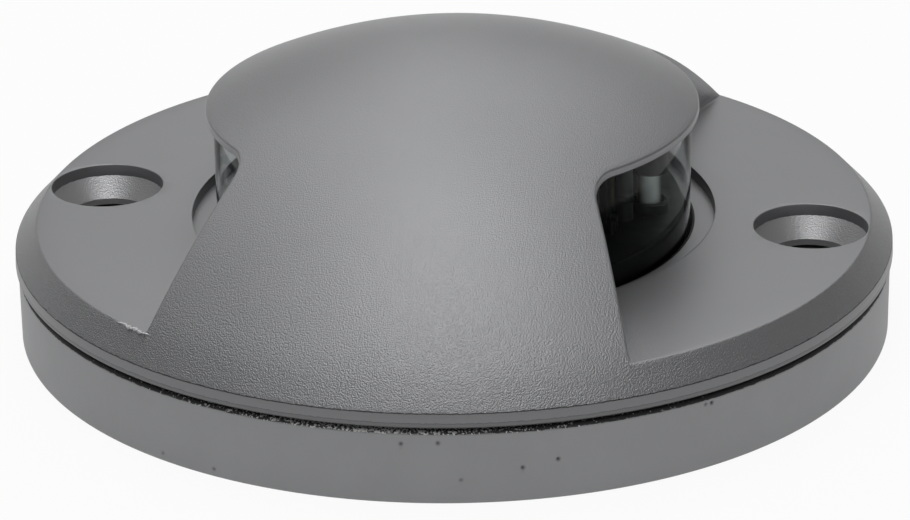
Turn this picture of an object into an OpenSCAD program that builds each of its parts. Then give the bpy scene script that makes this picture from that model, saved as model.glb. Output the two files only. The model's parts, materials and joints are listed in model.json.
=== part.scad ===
// Walkover ground light: a low round lamp that is screwed to the ground and shines out of two side windows.
// The origin is the middle of the base ring's underside. X runs through the two fixing holes and the windows,
// -Y is the front and +Z is up. Sizes are in millimetres.

/* [Main sizes] */
// Outside diameter of the glass cylinder
glass_d = 75.6; // [72:0.2:84]
// Width of the base ring from its bore to its outside
ring_w = 19.6; // [18.6:0.1:24]
// Height of the base ring
base_h = 11.5; // [10.5:0.1:12.5]
// Height of the flat plates above the ground
plate_h = 18.1; // [17.2:0.1:19.5]
// Height of the crown of the hood above the ground
crown_h = 45.6; // [42:0.1:50]

/* [Base] */
// Wall left outside and inside the pockets under the base ring
base_wall = 4; // [3:0.1:5]
// Depth of the pockets under the base ring
pocket_depth = 7; // [3:0.5:8]
// Number of pockets under the base ring, an even number
pocket_count = 12; // [8:2:16]
// Chamfer round the top edge of the base ring
base_chamfer = 0.4; // [0.2:0.1:0.8]
// Thickness of the gasket in the seam between the base ring and the hood
seam_t = 0.6; // [0.4:0.1:1.2]
// How far the seam gasket stays back from the edge of the base ring
seam_inset = 1.4; // [0.8:0.1:3]

/* [Hood] */
// How far the hood's rim stands out past the base ring
hood_overhang = 0.4; // [0.2:0.1:1]
// Height of the upright band round the rim
band_h = 2; // [1:0.1:2.4]
// How far the upright band leans in over its height
band_draft = 0.1; // [0.1:0.1:0.8]
// Width of the bevel between the band and the plates
bevel_w = 3.5; // [2:0.1:4]
// Chamfer under the rim
rim_chamfer = 0.4; // [0.2:0.1:0.6]
// Half the width of the ramp where its side lines would meet the middle of the hood
ramp_half_w = 16; // [13:0.5:19]
// Angle between the ramp's side lines and the line from front to back, in degrees
ramp_angle = 20; // [16:1:24]
// Radius of the corner between the ramp's side and the cap's lip
corner_r = 7.5; // [5:0.5:10]
// How far the cap's lip stands out past the bore for the glass
lip_reach = 0.5; // [0.3:0.1:1.5]
// Thickness of the cap's lip
lip_t = 1; // [0.8:0.1:1.4]
// Thickness of the crown over the lamp chamber
crown_t = 3; // [2.6:0.1:3.4]
// Width of the round recess outside the foot of the glass
recess_w = 3.2; // [2.4:0.1:4]
// Depth of the round recess
recess_depth = 1.85; // [0.8:0.05:2]
// Wall left round the cored pockets under the ramp
core_wall = 3.5; // [2.5:0.1:4.5]

/* [Fixing holes] */
// Flat left between the countersink's mouth and the bevel of the rim
sink_edge = 0.25; // [0.15:0.05:1]
// Diameter of the fixing holes through the base ring
fixing_d = 9; // [7:0.5:11]
// Diameter of the countersink at the top of the hood
sink_d = 18; // [15:0.5:19]
// Depth of the straight wall of the countersink
sink_wall = 1.9; // [1:0.1:2.4]
// Diameter of the fixing hole under the countersink's cone
sink_low_d = 13; // [11.5:0.5:14]
// Height of the straight part of the fixing hole under the countersink's cone
sink_low_h = 1; // [0.4:0.1:1.6]

/* [Glass and gaskets] */
// Wall of the glass cylinder
glass_t = 1.5; // [1.2:0.1:2]
// Thickness of the collar of the glass gasket round the foot of the glass
collar_t = 0.6; // [0.4:0.1:0.8]
// How far the collar stands up past the floor of the recess
collar_rise = 0.2; // [0.1:0.1:0.6]
// Thickness of the flat part of the glass gasket
gasket_t = 1; // [0.8:0.1:1.4]
// Thickness of the seal on top of the glass
top_seal_t = 0.8; // [0.5:0.1:1.2]
// Thickness of the cup gasket
cup_gasket_t = 0.6; // [0.4:0.1:1]

/* [Lamp carrier and cup] */
// Thickness of the lamp carrier's flange
flange_t = 2; // [1.6:0.1:2.4]
// Height of the lamp carrier's top above the floor of the recess
carrier_rise = 2.15; // [1:0.05:2.8]
// Thickness of the lamp carrier's top
carrier_top_t = 2.4; // [2:0.1:2.8]
// Wall of the lamp carrier
carrier_wall = 2.5; // [2:0.1:2.8]
// Gap between the lamp carrier and the inside of the glass
carrier_gap = 1; // [0.6:0.1:1.4]
// Gap between the lamp carrier's flange and the bore of the base ring
spigot_gap = 0.4; // [0.3:0.1:0.8]
// Thickness of the rear cup's flange
cup_flange_t = 2; // [1.6:0.1:2.2]
// Thickness of the rear cup's floor
cup_floor_t = 2; // [1.6:0.1:2.4]
// Wall of the rear cup
cup_wall = 2.5; // [2:0.1:3]
// Gap between the rear cup and the ground
ground_gap = 1.2; // [0.8:0.1:1.6]
// Number of screws that hold the rear cup and the lamp carrier under the hood
cup_screw_count = 6; // [6:2:6]
// Distance of the cup screws from the hood's bore for the glass
cup_screw_rim = 6.5; // [6.2:0.1:7]
// Distance of the cup screws from the bore of the base ring
cup_screw_inset = 5; // [4.6:0.1:5.2]
// Thread diameter of the cup screws
cup_screw_d = 3; // [2.5:0.5:3]
// Metal left over the cup screws under the floor of the recess
cup_screw_skin = 0.9; // [0.5:0.1:1.5]

/* [Lamp] */
// Distance of the heat sink's fins from the edge of the lamp carrier
fin_inset = 5.3; // [3:0.1:8]
// Number of slots between the fins on each side of the heat sink
slot_count = 9; // [5:2:11]
// Width of the slots between the fins
slot_w = 2; // [1.2:0.1:2.4]
// Width of the lamp boards
board_w = 24; // [23:0.5:26]
// Distance of the lamp boards from the top of the heat sink
board_top_gap = 2.7; // [1.5:0.1:3.5]
// Thickness of the lamp boards
board_t = 1.1; // [1:0.1:1.2]
// Thickness of the pads behind the lamp boards
pad_t = 0.3; // [0.2:0.1:0.4]
// Number of lamps on each board
lamp_count = 3; // [2:1:3]
// Side of the square foot of a lamp
lamp_w = 3; // [2.6:0.1:3.4]
// Diameter of the rod lenses
rod_d = 4.9; // [4:0.1:5]
// Distance of the rod lenses from the edge of the lamp carrier
rod_inset = 3.8; // [3:0.1:4.4]
// Gap between a lamp's dome and the rod lens
rod_gap = 0.65; // [0.4:0.05:0.8]
// Diameter of the lens posts
post_d = 3; // [2.4:0.1:3.2]
// Distance of a lens post from the rod lens, side to side
post_offset = 4.6; // [4.2:0.1:5.2]
// Thickness of the lens brackets
bracket_t = 1.5; // [1.2:0.1:1.6]
// Width of the lens brackets
bracket_w = 14; // [13:0.5:15]
// Gap between the lens brackets and the ceiling of the chamber
bracket_gap = 0.45; // [0.3:0.05:1]

/* [Driver and terminals] */
// Length of the driver case
driver_l = 44; // [40:0.5:46]
// Width of the driver case
driver_w = 22; // [20:0.5:23]
// Gap between the driver lid and the lamp carrier
driver_gap = 1.3; // [0.6:0.1:2.5]
// Wall of the driver case
driver_wall = 1.2; // [1:0.1:1.6]
// Thickness of the driver lid
lid_t = 1; // [0.8:0.1:1.2]
// Length of the terminal block
terminal_l = 24; // [21:0.5:26]
// Width of the terminal block
terminal_w = 9; // [8:0.1:9.4]
// Height of the terminal block
terminal_h = 9; // [8:0.1:10]
// Gap between the driver case and the terminal block
terminal_gap = 1.6; // [1:0.1:1.8]
// Diameter of the lamp leads
lamp_lead_d = 1.2; // [1:0.1:1.4]
// Diameter of the supply leads and the earth lead
supply_lead_d = 1.5; // [1.2:0.1:1.8]

/* [Cable gland] */
// Diameter of the gland's thread
gland_d = 12; // [10:0.5:12]
// Bore of the gland for the cable
cable_d = 6.6; // [5:0.1:7]
// Distance of the gland from the middle of the lamp
gland_y = 22; // [21:0.5:22.5]
// Width of the gland's hexagon across its flats
gland_hex = 15; // [14:0.5:15]
// Height of the gland's hexagon
gland_hex_h = 2.5; // [2:0.1:2.8]
// Height of the gland's nut
gland_nut_h = 3.6; // [3:0.1:3.8]

/* [Hidden] */
$fn = 96;
cut = 1;
fit = 0.05;
loose = 0.2;
arc_steps = 8;
lip_steps = 30;
dome_steps = 24;

// Heights, from the ground up
under_z = base_h + seam_t;
band_top = under_z + rim_chamfer + band_h;
recess_z = plate_h - recess_depth;
flange_top = under_z - gasket_t;
flange_low = flange_top - flange_t;
cup_flange_top = flange_low - cup_gasket_t;
cup_flange_low = cup_flange_top - cup_flange_t;
cup_floor_z = ground_gap + cup_floor_t;
carrier_z = recess_z + carrier_rise;
carrier_under = carrier_z - carrier_top_t;

// Radii from the glass outwards
glass_r = glass_d / 2;
bore_r = glass_r + collar_t + 2 * fit;
cap_r = bore_r + lip_reach;
recess_r = bore_r + recess_w;
cup_screw_r = bore_r + cup_screw_rim;
base_bore_r = cup_screw_r + cup_screw_inset;
base_r = base_bore_r + ring_w;
hood_r = base_r + hood_overhang;
plate_r = hood_r - band_draft - bevel_w;
fixing_x = plate_r - sink_d / 2 - sink_edge;
rib_angle = 1.5;
core_inset = 1.5;
beyond = 1.3 * hood_r;

// The crown is a dish turned over: it falls with the square of the distance from the middle
function dome_z(r) = crown_h - (crown_h - plate_h) * pow(r / plate_r, 2);
function dome_r(z) = plate_r * sqrt((crown_h - z) / (crown_h - plate_h));
ceiling_z = dome_z(bore_r) - lip_t;
vault_r = dome_r(ceiling_z + crown_t);

// The ramp's side line, and the round corner where it meets the cap's lip
side_near = ramp_half_w * cos(ramp_angle);
corner_along = sqrt(pow(cap_r + corner_r, 2) - pow(side_near + corner_r, 2));
corner_x = (side_near + corner_r) * cos(ramp_angle) + corner_along * sin(ramp_angle);
corner_y = corner_along * cos(ramp_angle) - (side_near + corner_r) * sin(ramp_angle);
lip_angle = atan2(corner_y, corner_x);
lip_fade = 1.2;

// The lamp carrier, the cup and their screws
carrier_r = glass_r - glass_t - carrier_gap;
carrier_bore_r = carrier_r - carrier_wall;
flange_r = base_bore_r - spigot_gap;
cup_flange_step = 0.6;
cup_flange_r = flange_r - cup_flange_step;
cup_screw_grip = recess_z - cup_screw_skin - under_z;
cup_head_r = cup_screw_d * 0.92;
cup_head_h = cup_screw_d * 0.66;
cup_head_gap = 1.2;
cup_r = cup_screw_r - cup_head_r - cup_head_gap;
cup_bore_r = cup_r - cup_wall;

// The lamp, from the lens brackets down and from the rod lenses inwards
sink_top = ceiling_z - bracket_gap - bracket_t;
heat_sink_h = sink_top - carrier_z;
heat_sink_r = carrier_r - fin_inset;
sink_base_t = 2;
board_gap = 0.8;
board_low = carrier_z + board_gap;
board_h = sink_top - board_top_gap - board_low;
lamp_t = 0.7;
dome_lens_r = lamp_w / 2 - loose;
rod_x = carrier_r - rod_inset;
rod_seat = 0.8;
lamp_x = rod_x - rod_d / 2 - rod_gap - dome_lens_r - lamp_t;
board_x = lamp_x - board_t;
sink_end = board_x - pad_t;
post_x = lamp_x + loose + post_d / 2;
lamp_pitch = board_h / lamp_count;
pad_inset = 0.5;
sink_screw_d = 4;
sink_screw_grip = 6;
sink_head_h = 1.2;
sink_screw_at = [14, 5];
bracket_screw_d = 2.5;
bracket_screw_grip = 5;
bracket_head_h = 1.4;
bracket_back = 8;
bracket_front = 2.7;

// The driver, the terminals and their leads
driver_y = -12;
driver_top = carrier_under - driver_gap - lid_t;
peg_h = 1.8;
peg_r = 1.2;
peg_inset = 1.5;
driver_board_t = 1.2;
driver_board_play = 0.3;
driver_part_gap = 0.6;
board_seat = cup_floor_z + driver_wall + peg_h;
driver_back = driver_y + driver_w / 2;
terminal_y = driver_back + terminal_gap + terminal_w / 2;
terminal_top = cup_floor_z + terminal_h;
terminal_end = 1.5;
terminal_pitch = (terminal_l - 2 * terminal_end) / 3;
pole_r = 1.8;
pole_h = 1.4;
pole_depth = 2;
pole_slot = 0.6;
port_r = 1.4;
port_depth = 4;
port_rise = 3;
lead_rise = 6;
lead_z = cup_floor_z + lead_rise;
lamp_lead_gap = 0.1;
lamp_lead_x = lamp_x + lamp_lead_gap + lamp_lead_d / 2;
lamp_lead_end = 2.2;
lamp_lead_y = [-8.4, -10.8];
lamp_lead_bend = 2.4;
earth_x = -24;
earth_y = 14;
earth_d = 4;
earth_boss_h = 3;
earth_boss_r = 3.6;
earth_z = cup_floor_z + earth_boss_h;
lug_t = 0.8;
earth_bend = 3;

// The gland in its well, and the pressure vent
gland_gap = 0.6;
hex_low = gland_gap + gland_nut_h;
well_z = hex_low + gland_hex_h;
well_roof_t = 1.8;
well_gap = 0.9;
well_r = gland_hex / sqrt(3) + well_gap;
well_wall = 1.5;
lock_nut_h = 2;
gland_spare = 1;
gland_top = well_z + well_roof_t + lock_nut_h + gland_spare;
gland_low_r = gland_d / 2 - 0.8;
gland_low_wall = 0.6;
seal_r = gland_low_r - gland_low_wall;
nut_floor = 1.2;
vent_at = [24, 16];
vent_hole_r = 3;
vent_cap_r = 5;
vent_cap_h = 2;
vent_bore_r = 1;
vent_rise = 0.3;

// A ring, a slab set on its middle, and a pin lying along X
module ring(out_r, in_r, low, high) {
    translate([0, 0, low])
        difference() {
            cylinder(r = out_r, h = high - low);
            translate([0, 0, -cut]) cylinder(r = in_r, h = high - low + 2 * cut);
        }
}

module slab(low_x, high_x, mid_y, width, low, high) {
    translate([low_x, mid_y - width / 2, low]) cube([high_x - low_x, width, high - low]);
}

module pin_x(r, low_x, high_x, y, z) {
    translate([low_x, y, z]) rotate([0, 90, 0]) cylinder(r = r, h = high_x - low_x, $fn = 32);
}

module both_ends() {
    for (side = [0, 1]) mirror([side, 0, 0]) children();
}

module at_fixings() {
    for (side = [-1, 1]) translate([side * fixing_x, 0, 0]) children();
}

module at_cup_screws() {
    for (i = [0:cup_screw_count - 1])
        rotate([0, 0, i * 360 / cup_screw_count]) translate([cup_screw_r, 0, 0]) children();
}

module cup_screw_holes(low, high) {
    at_cup_screws()
        translate([0, 0, low - cut])
            cylinder(r = cup_screw_d / 2 + loose, h = high - low + 2 * cut, $fn = 32);
}

// Base ring
module base_pocket() {
    low_r = base_bore_r + base_wall;
    high_r = base_r - base_wall;
    step = 360 / pocket_count;
    intersection() {
        ring(high_r, low_r, -cut, pocket_depth);
        linear_extrude(height = 3 * pocket_depth, center = true)
            polygon([
                [0, 0],
                [2 * base_r * cos(step / 2 - rib_angle), -2 * base_r * sin(step / 2 - rib_angle)],
                [2 * base_r * cos(step / 2 - rib_angle), 2 * base_r * sin(step / 2 - rib_angle)]
            ]);
    }
}

module base_ring() {
    step = 360 / pocket_count;
    color([0.45, 0.46, 0.45])
        difference() {
            rotate_extrude()
                polygon([
                    [base_bore_r, 0],
                    [base_r, 0],
                    [base_r, base_h - base_chamfer],
                    [base_r - base_chamfer, base_h],
                    [base_bore_r, base_h]
                ]);
            for (i = [0:pocket_count - 1])
                if (i != 0 && i != pocket_count / 2) rotate([0, 0, i * step]) base_pocket();
            at_fixings() translate([0, 0, -cut]) cylinder(d = fixing_d, h = base_h + 2 * cut);
        }
}

module seam_gasket() {
    color([0.08, 0.08, 0.08])
        difference() {
            ring(base_r - seam_inset, base_bore_r + base_wall, base_h, under_z);
            at_fixings()
                translate([0, 0, base_h - cut]) cylinder(d = sink_low_d + 4 * loose, h = seam_t + 2 * cut);
        }
}

// Hood: the whole crown is turned, then both sides are cut down to the plates outside the cap and the ramp
module crown_body() {
    rotate_extrude($fn = 180)
        polygon(concat(
            [[0, under_z], [hood_r - rim_chamfer, under_z], [hood_r, under_z + rim_chamfer]],
            [[hood_r - band_draft, band_top]],
            [for (i = [0:dome_steps]) let (r = plate_r * (1 - i / dome_steps)) [r, dome_z(r)]]
        ));
}

module side_wedge(low, high) {
    translate([0, 0, low])
        linear_extrude(height = high - low)
            polygon([
                [ramp_half_w, 0],
                [ramp_half_w + beyond * tan(ramp_angle), beyond],
                [2 * beyond, beyond],
                [2 * beyond, -beyond],
                [ramp_half_w + beyond * tan(ramp_angle), -beyond]
            ]);
}

module side_cut() {
    half = concat(
        [for (i = [0:lip_steps - 1]) let (a = lip_angle * i / lip_steps) [cap_r * cos(a), cap_r * sin(a)]],
        [for (i = [0:arc_steps])
            let (a = 180 + lip_angle - (lip_angle + ramp_angle) * i / arc_steps)
            [corner_x + corner_r * cos(a), corner_y + corner_r * sin(a)]],
        [[ramp_half_w + beyond * tan(ramp_angle), beyond], [2 * beyond, beyond]]
    );
    translate([0, 0, plate_h])
        linear_extrude(height = crown_h)
            polygon(concat(half, [for (i = [len(half) - 1:-1:1]) [half[i][0], -half[i][1]]]));
}

module lip_undercut() {
    reach = norm([corner_along, side_near]) - lip_fade;
    intersection() {
        rotate_extrude($fn = 180)
            polygon(concat(
                [[bore_r - loose, plate_h], [reach, plate_h]],
                [for (i = [0:arc_steps])
                    let (r = reach + (bore_r - reach) * i / arc_steps) [r, dome_z(r) - lip_t]],
                [[bore_r - loose, ceiling_z]]
            ));
        side_wedge(recess_z, crown_h);
    }
}

module lamp_chamber() {
    translate([0, 0, under_z - cut]) cylinder(r = bore_r, h = ceiling_z - under_z + cut, $fn = 180);
    rotate_extrude($fn = 180)
        polygon(concat(
            [[0, ceiling_z - cut], [vault_r, ceiling_z - cut]],
            [for (i = [0:dome_steps]) let (r = vault_r * (1 - i / dome_steps)) [r, dome_z(r) - crown_t]]
        ));
}

module ramp_core() {
    low_r = base_bore_r + core_inset;
    high_r = plate_r - core_wall;
    side = ramp_half_w - core_wall / cos(ramp_angle);
    intersection() {
        rotate_extrude()
            polygon(concat(
                [[high_r, under_z - cut]],
                [for (i = [0:arc_steps])
                    let (r = high_r + (low_r - high_r) * i / arc_steps) [r, dome_z(r) - core_wall]],
                [[low_r, under_z - cut]]
            ));
        linear_extrude(height = 2 * crown_h, center = true)
            polygon([
                [-side, 0],
                [side, 0],
                [side + hood_r * tan(ramp_angle), hood_r],
                [-side - hood_r * tan(ramp_angle), hood_r]
            ]);
    }
}

module countersink() {
    cone_low = under_z + sink_low_h;
    translate([0, 0, under_z - cut]) cylinder(d = sink_low_d, h = crown_h);
    translate([0, 0, cone_low])
        cylinder(d1 = sink_low_d, d2 = sink_d, h = plate_h - sink_wall - cone_low);
    translate([0, 0, plate_h - sink_wall]) cylinder(d = sink_d, h = crown_h);
}

module hood() {
    color([0.5, 0.5, 0.51])
        difference() {
            crown_body();
            both_ends() side_cut();
            both_ends() lip_undercut();
            both_ends()
                intersection() {
                    translate([0, 0, recess_z]) cylinder(r = recess_r, h = plate_h);
                    side_wedge(recess_z, plate_h + cut);
                }
            lamp_chamber();
            for (side = [0, 1]) mirror([0, side, 0]) ramp_core();
            at_fixings() countersink();
            at_cup_screws()
                translate([0, 0, under_z - cut])
                    cylinder(d = cup_screw_d + 2 * fit, h = cup_screw_grip + loose + cut, $fn = 32);
        }
}

// Glass and its seals
module glass_cylinder() {
    color([0.8, 0.88, 0.86, 0.4]) ring(glass_r, glass_r - glass_t, under_z, ceiling_z - top_seal_t);
}

module top_seal() {
    color([0.08, 0.08, 0.08])
        ring(bore_r - loose, glass_r - glass_t - collar_t, ceiling_z - top_seal_t, ceiling_z);
}

module glass_gasket() {
    collar_r = bore_r - fit;
    color([0.06, 0.06, 0.06])
        difference() {
            union() {
                ring(cup_flange_r, carrier_r + fit, flange_top, under_z);
                ring(collar_r, collar_r - collar_t, flange_top + fit, recess_z + collar_rise);
            }
            cup_screw_holes(flange_top, under_z);
        }
}

// Lamp carrier: a black hat whose brim is clamped under the hood
module lamp_carrier() {
    color([0.05, 0.05, 0.05])
        difference() {
            union() {
                ring(flange_r, carrier_bore_r, flange_low, flange_top);
                translate([0, 0, flange_low]) cylinder(r = carrier_r, h = carrier_z - flange_low);
            }
            translate([0, 0, flange_low - cut])
                cylinder(r = carrier_bore_r, h = carrier_under - flange_low + cut);
            cup_screw_holes(flange_low, flange_top);
            both_ends() {
                translate([sink_screw_at[0], sink_screw_at[1], carrier_under - cut])
                    cylinder(d = sink_screw_d + 2 * loose, h = carrier_top_t + 2 * cut, $fn = 32);
                translate([rod_x, 0, carrier_z - rod_seat]) cylinder(d = rod_d + 2 * fit, h = rod_seat + cut);
                for (y = lamp_lead_y)
                    translate([lamp_lead_x, y, carrier_under - cut])
                        cylinder(d = lamp_lead_d + 4 * loose, h = carrier_top_t + 2 * cut, $fn = 32);
            }
        }
}

// Heat sink with upright fins to the front and the back
module heat_sink() {
    web = heat_sink_r * 0.4;
    pitch = 2 * sink_end / (slot_count + 1);
    color([0.07, 0.07, 0.07])
        difference() {
            intersection() {
                translate([0, 0, carrier_z]) cylinder(r = heat_sink_r, h = heat_sink_h);
                slab(-sink_end, sink_end, 0, 2 * heat_sink_r, carrier_z, sink_top);
            }
            for (i = [1:slot_count], side = [-1, 1])
                slab(i * pitch - sink_end - slot_w / 2, i * pitch - sink_end + slot_w / 2,
                    side * (web + heat_sink_r), 2 * heat_sink_r, carrier_z + sink_base_t, sink_top + cut);
            both_ends() {
                translate([sink_screw_at[0], sink_screw_at[1], carrier_z - cut])
                    cylinder(d = sink_screw_d + 2 * fit, h = sink_screw_grip + loose + cut, $fn = 32);
                translate([sink_end - bracket_back / 2, 0, sink_top - bracket_screw_grip - loose])
                    cylinder(d = bracket_screw_d + 2 * fit, h = bracket_screw_grip + loose + cut, $fn = 32);
            }
        }
}

// A round-headed screw that points up, with its head below the joint
module screw(d, head_r, head_h, grip) {
    difference() {
        union() {
            cylinder(d = d, h = grip, $fn = 32);
            translate([0, 0, -head_h]) cylinder(r1 = head_r * 0.86, r2 = head_r, h = head_h, $fn = 32);
        }
        translate([0, 0, -head_h - cut]) cylinder(d = head_r, h = head_h * 0.5 + cut, $fn = 6);
    }
}

module heat_sink_screws() {
    color([0.7, 0.7, 0.72])
        both_ends()
            translate([sink_screw_at[0], sink_screw_at[1], carrier_under])
                screw(sink_screw_d, sink_screw_d * 0.85, sink_head_h, carrier_top_t + sink_screw_grip);
}

module thermal_pads() {
    color([0.6, 0.6, 0.62])
        both_ends()
            slab(sink_end, board_x, 0, board_w - 2 * pad_inset,
                board_low + pad_inset, board_low + board_h - pad_inset);
}

module lamp_board() {
    color([0.07, 0.08, 0.07]) slab(board_x, lamp_x, 0, board_w, board_low, board_low + board_h);
}

module lamps() {
    color([0.85, 0.75, 0.35])
        both_ends()
            for (i = [0:lamp_count - 1])
                translate([lamp_x, 0, board_low + lamp_pitch * (i + 0.5)]) {
                    translate([0, -lamp_w / 2, -lamp_w / 2]) cube([lamp_t, lamp_w, lamp_w]);
                    translate([lamp_t, 0, 0])
                        rotate([0, 90, 0])
                            rotate_extrude($fn = 32)
                                intersection() {
                                    circle(r = dome_lens_r, $fn = 32);
                                    translate([0, -loose]) square([dome_lens_r, dome_lens_r + loose]);
                                }
                }
}

module rod_lenses() {
    color([0.3, 0.36, 0.34])
        both_ends()
            translate([rod_x, 0, carrier_z - rod_seat])
                cylinder(d = rod_d, h = heat_sink_h + 2 * rod_seat, $fn = 48);
}

module lens_posts() {
    color([0.04, 0.04, 0.04])
        both_ends()
            for (side = [-1, 1])
                translate([post_x, side * post_offset, carrier_z])
                    cylinder(d = post_d, h = heat_sink_h, $fn = 48);
}

module lens_bracket() {
    color([0.05, 0.05, 0.05])
        difference() {
            slab(sink_end - bracket_back, rod_x + bracket_front, 0, bracket_w,
                sink_top, sink_top + bracket_t);
            translate([rod_x, 0, sink_top - cut]) cylinder(d = rod_d + 2 * fit, h = rod_seat + cut, $fn = 48);
            translate([sink_end - bracket_back / 2, 0, sink_top - cut])
                cylinder(d = bracket_screw_d + loose, h = bracket_t + 2 * cut, $fn = 32);
        }
}

module bracket_screws() {
    color([0.7, 0.7, 0.72])
        both_ends()
            translate([sink_end - bracket_back / 2, 0, sink_top + bracket_t])
                rotate([180, 0, 0])
                    screw(bracket_screw_d, bracket_screw_d, bracket_head_h, bracket_screw_grip + bracket_t);
}

// The lamp leads come out of the driver's end, turn up and pass through the carrier to the boards
module lamp_leads() {
    rise = lead_z + lamp_lead_bend;
    color([0.08, 0.08, 0.08])
        both_ends()
            for (y = lamp_lead_y) {
                pin_x(lamp_lead_d / 2, driver_l / 2, lamp_lead_x - lamp_lead_bend, y, lead_z);
                translate([lamp_lead_x - lamp_lead_bend, y, rise])
                    rotate([90, 0, 0])
                        rotate([0, 0, -90])
                            rotate_extrude(angle = 90, $fn = 48)
                                translate([lamp_lead_bend, 0]) circle(d = lamp_lead_d, $fn = 24);
                translate([lamp_lead_x, y, rise])
                    cylinder(d = lamp_lead_d, h = board_low + lamp_lead_end - rise, $fn = 24);
            }
}

// Rear cup: it closes the lamp from below and holds the driver, the terminals and the gland
module rear_cup() {
    color([0.4, 0.4, 0.41])
        difference() {
            union() {
                ring(cup_flange_r, cup_bore_r, cup_flange_low, cup_flange_top);
                ring(cup_r, cup_bore_r, ground_gap, cup_flange_low + cup_flange_t / 2);
                translate([0, 0, ground_gap]) cylinder(r = cup_bore_r + cup_wall / 2, h = cup_floor_t);
                translate([0, gland_y, ground_gap])
                    cylinder(r = well_r + well_wall, h = well_z + well_roof_t - ground_gap);
                translate([earth_x, earth_y, ground_gap])
                    cylinder(r = earth_boss_r, h = earth_z - ground_gap, $fn = 48);
            }
            translate([0, gland_y, ground_gap - cut]) cylinder(r = well_r, h = well_z - ground_gap + cut);
            translate([0, gland_y, 0]) cylinder(r = gland_d / 2 + 2 * fit, h = crown_h);
            translate([earth_x, earth_y, cup_floor_z]) cylinder(d = earth_d + 2 * fit, h = crown_h, $fn = 32);
            translate([vent_at[0], vent_at[1], 0]) cylinder(r = vent_hole_r, h = crown_h, $fn = 48);
            cup_screw_holes(cup_flange_low, cup_flange_top);
        }
}

module cup_gasket() {
    color([0.06, 0.06, 0.06])
        difference() {
            ring(cup_flange_r, cup_bore_r + loose, cup_flange_top, flange_low);
            cup_screw_holes(cup_flange_top, flange_low);
        }
}

module cup_screws() {
    grip = under_z + cup_screw_grip - cup_flange_low;
    color([0.7, 0.7, 0.72])
        at_cup_screws() translate([0, 0, cup_flange_low]) screw(cup_screw_d, cup_head_r, cup_head_h, grip);
}

// Driver
module driver_case() {
    half = driver_l / 2;
    inside = driver_w - 2 * driver_wall;
    peg_x = half - driver_wall - peg_inset;
    color([0.12, 0.12, 0.12]) {
        difference() {
            slab(-half, half, driver_y, driver_w, cup_floor_z, driver_top);
            slab(driver_wall - half, half - driver_wall, driver_y, inside,
                cup_floor_z + driver_wall, crown_h);
        }
        for (x = [-peg_x, peg_x], side = [-1, 1])
            translate([x, driver_y + side * (inside / 2 - peg_inset), cup_floor_z + driver_wall / 2])
                cylinder(r = peg_r, h = driver_wall / 2 + peg_h, $fn = 32);
    }
}

module driver_board() {
    half = driver_l / 2 - driver_wall - driver_board_play;
    width = driver_w - 2 * (driver_wall + driver_board_play);
    top = board_seat + driver_board_t;
    part_top = driver_top - driver_part_gap;
    coil_half = 6.5;
    can_x = 13;
    can_r = 3;
    chip_half = 1.5;
    chip_h = 1.4;
    color([0.1, 0.35, 0.2]) {
        slab(-half, half, driver_y, width, board_seat, top);
        slab(-coil_half, coil_half, driver_y, width / 2, top - loose, part_top);
        for (x = [-can_x, can_x])
            translate([x, driver_y - width / 4, top - loose])
                cylinder(r = can_r, h = part_top - top + loose, $fn = 48);
        for (x = [-can_x, can_x], side = [-1, 1])
            slab(x + 2 * side * chip_half - chip_half, x + 2 * side * chip_half + chip_half,
                driver_y + width / 4, 2.6 * chip_half, top - loose, top + chip_h);
    }
}

module driver_lid() {
    half = driver_l / 2;
    color([0.12, 0.12, 0.12]) slab(-half, half, driver_y, driver_w, driver_top, driver_top + lid_t);
}

// Terminals
module at_poles() {
    for (i = [-1:1]) translate([i * terminal_pitch, terminal_y, 0]) children();
}

module terminal_block() {
    half = terminal_l / 2;
    color([0.85, 0.85, 0.82])
        difference() {
            slab(-half, half, terminal_y, terminal_w, cup_floor_z, terminal_top);
            at_poles() {
                translate([0, 0, terminal_top - pole_depth])
                    cylinder(r = pole_r + loose, h = pole_depth + cut, $fn = 32);
                translate([0, terminal_w / 2 + cut, cup_floor_z + port_rise])
                    rotate([90, 0, 0]) cylinder(r = port_r, h = port_depth + cut, $fn = 32);
            }
        }
}

module terminal_screws() {
    color([0.75, 0.7, 0.45])
        at_poles()
            difference() {
                translate([0, 0, terminal_top - pole_depth]) cylinder(r = pole_r, h = pole_h, $fn = 32);
                slab(-2 * pole_r, 2 * pole_r, 0, pole_slot,
                    terminal_top - pole_depth + pole_h / 2, terminal_top);
            }
}

module supply_leads() {
    color([0.3, 0.2, 0.15])
        for (i = [-1:1])
            translate([i * terminal_pitch, driver_back, lead_z])
                rotate([-90, 0, 0]) cylinder(d = supply_lead_d, h = terminal_gap, $fn = 24);
}

module earth_lead() {
    half = terminal_l / 2;
    r = supply_lead_d / 2;
    lead_height = earth_z + r;
    lug_edge = earth_y - earth_boss_r + loose;
    color([0.35, 0.55, 0.2])
        difference() {
            union() {
                pin_x(r, earth_x + earth_bend, -half, terminal_y, lead_height);
                translate([earth_x + earth_bend, terminal_y + earth_bend, lead_height])
                    rotate([0, 0, 180])
                        rotate_extrude(angle = 90, $fn = 48)
                            translate([earth_bend, 0]) circle(r = r, $fn = 24);
                translate([earth_x, terminal_y + earth_bend, lead_height])
                    rotate([-90, 0, 0])
                        cylinder(r = r, h = lug_edge - terminal_y - earth_bend, $fn = 24);
                translate([earth_x, earth_y, earth_z]) cylinder(r = earth_boss_r, h = lug_t, $fn = 48);
            }
            translate([earth_x, earth_y, 0]) cylinder(d = earth_d + loose, h = crown_h, $fn = 32);
        }
}

module earth_screw() {
    color([0.75, 0.7, 0.45])
        translate([earth_x, earth_y, earth_z + lug_t])
            rotate([180, 0, 0]) screw(earth_d, earth_d * 0.8, 2, lug_t + earth_boss_h - loose);
}

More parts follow.
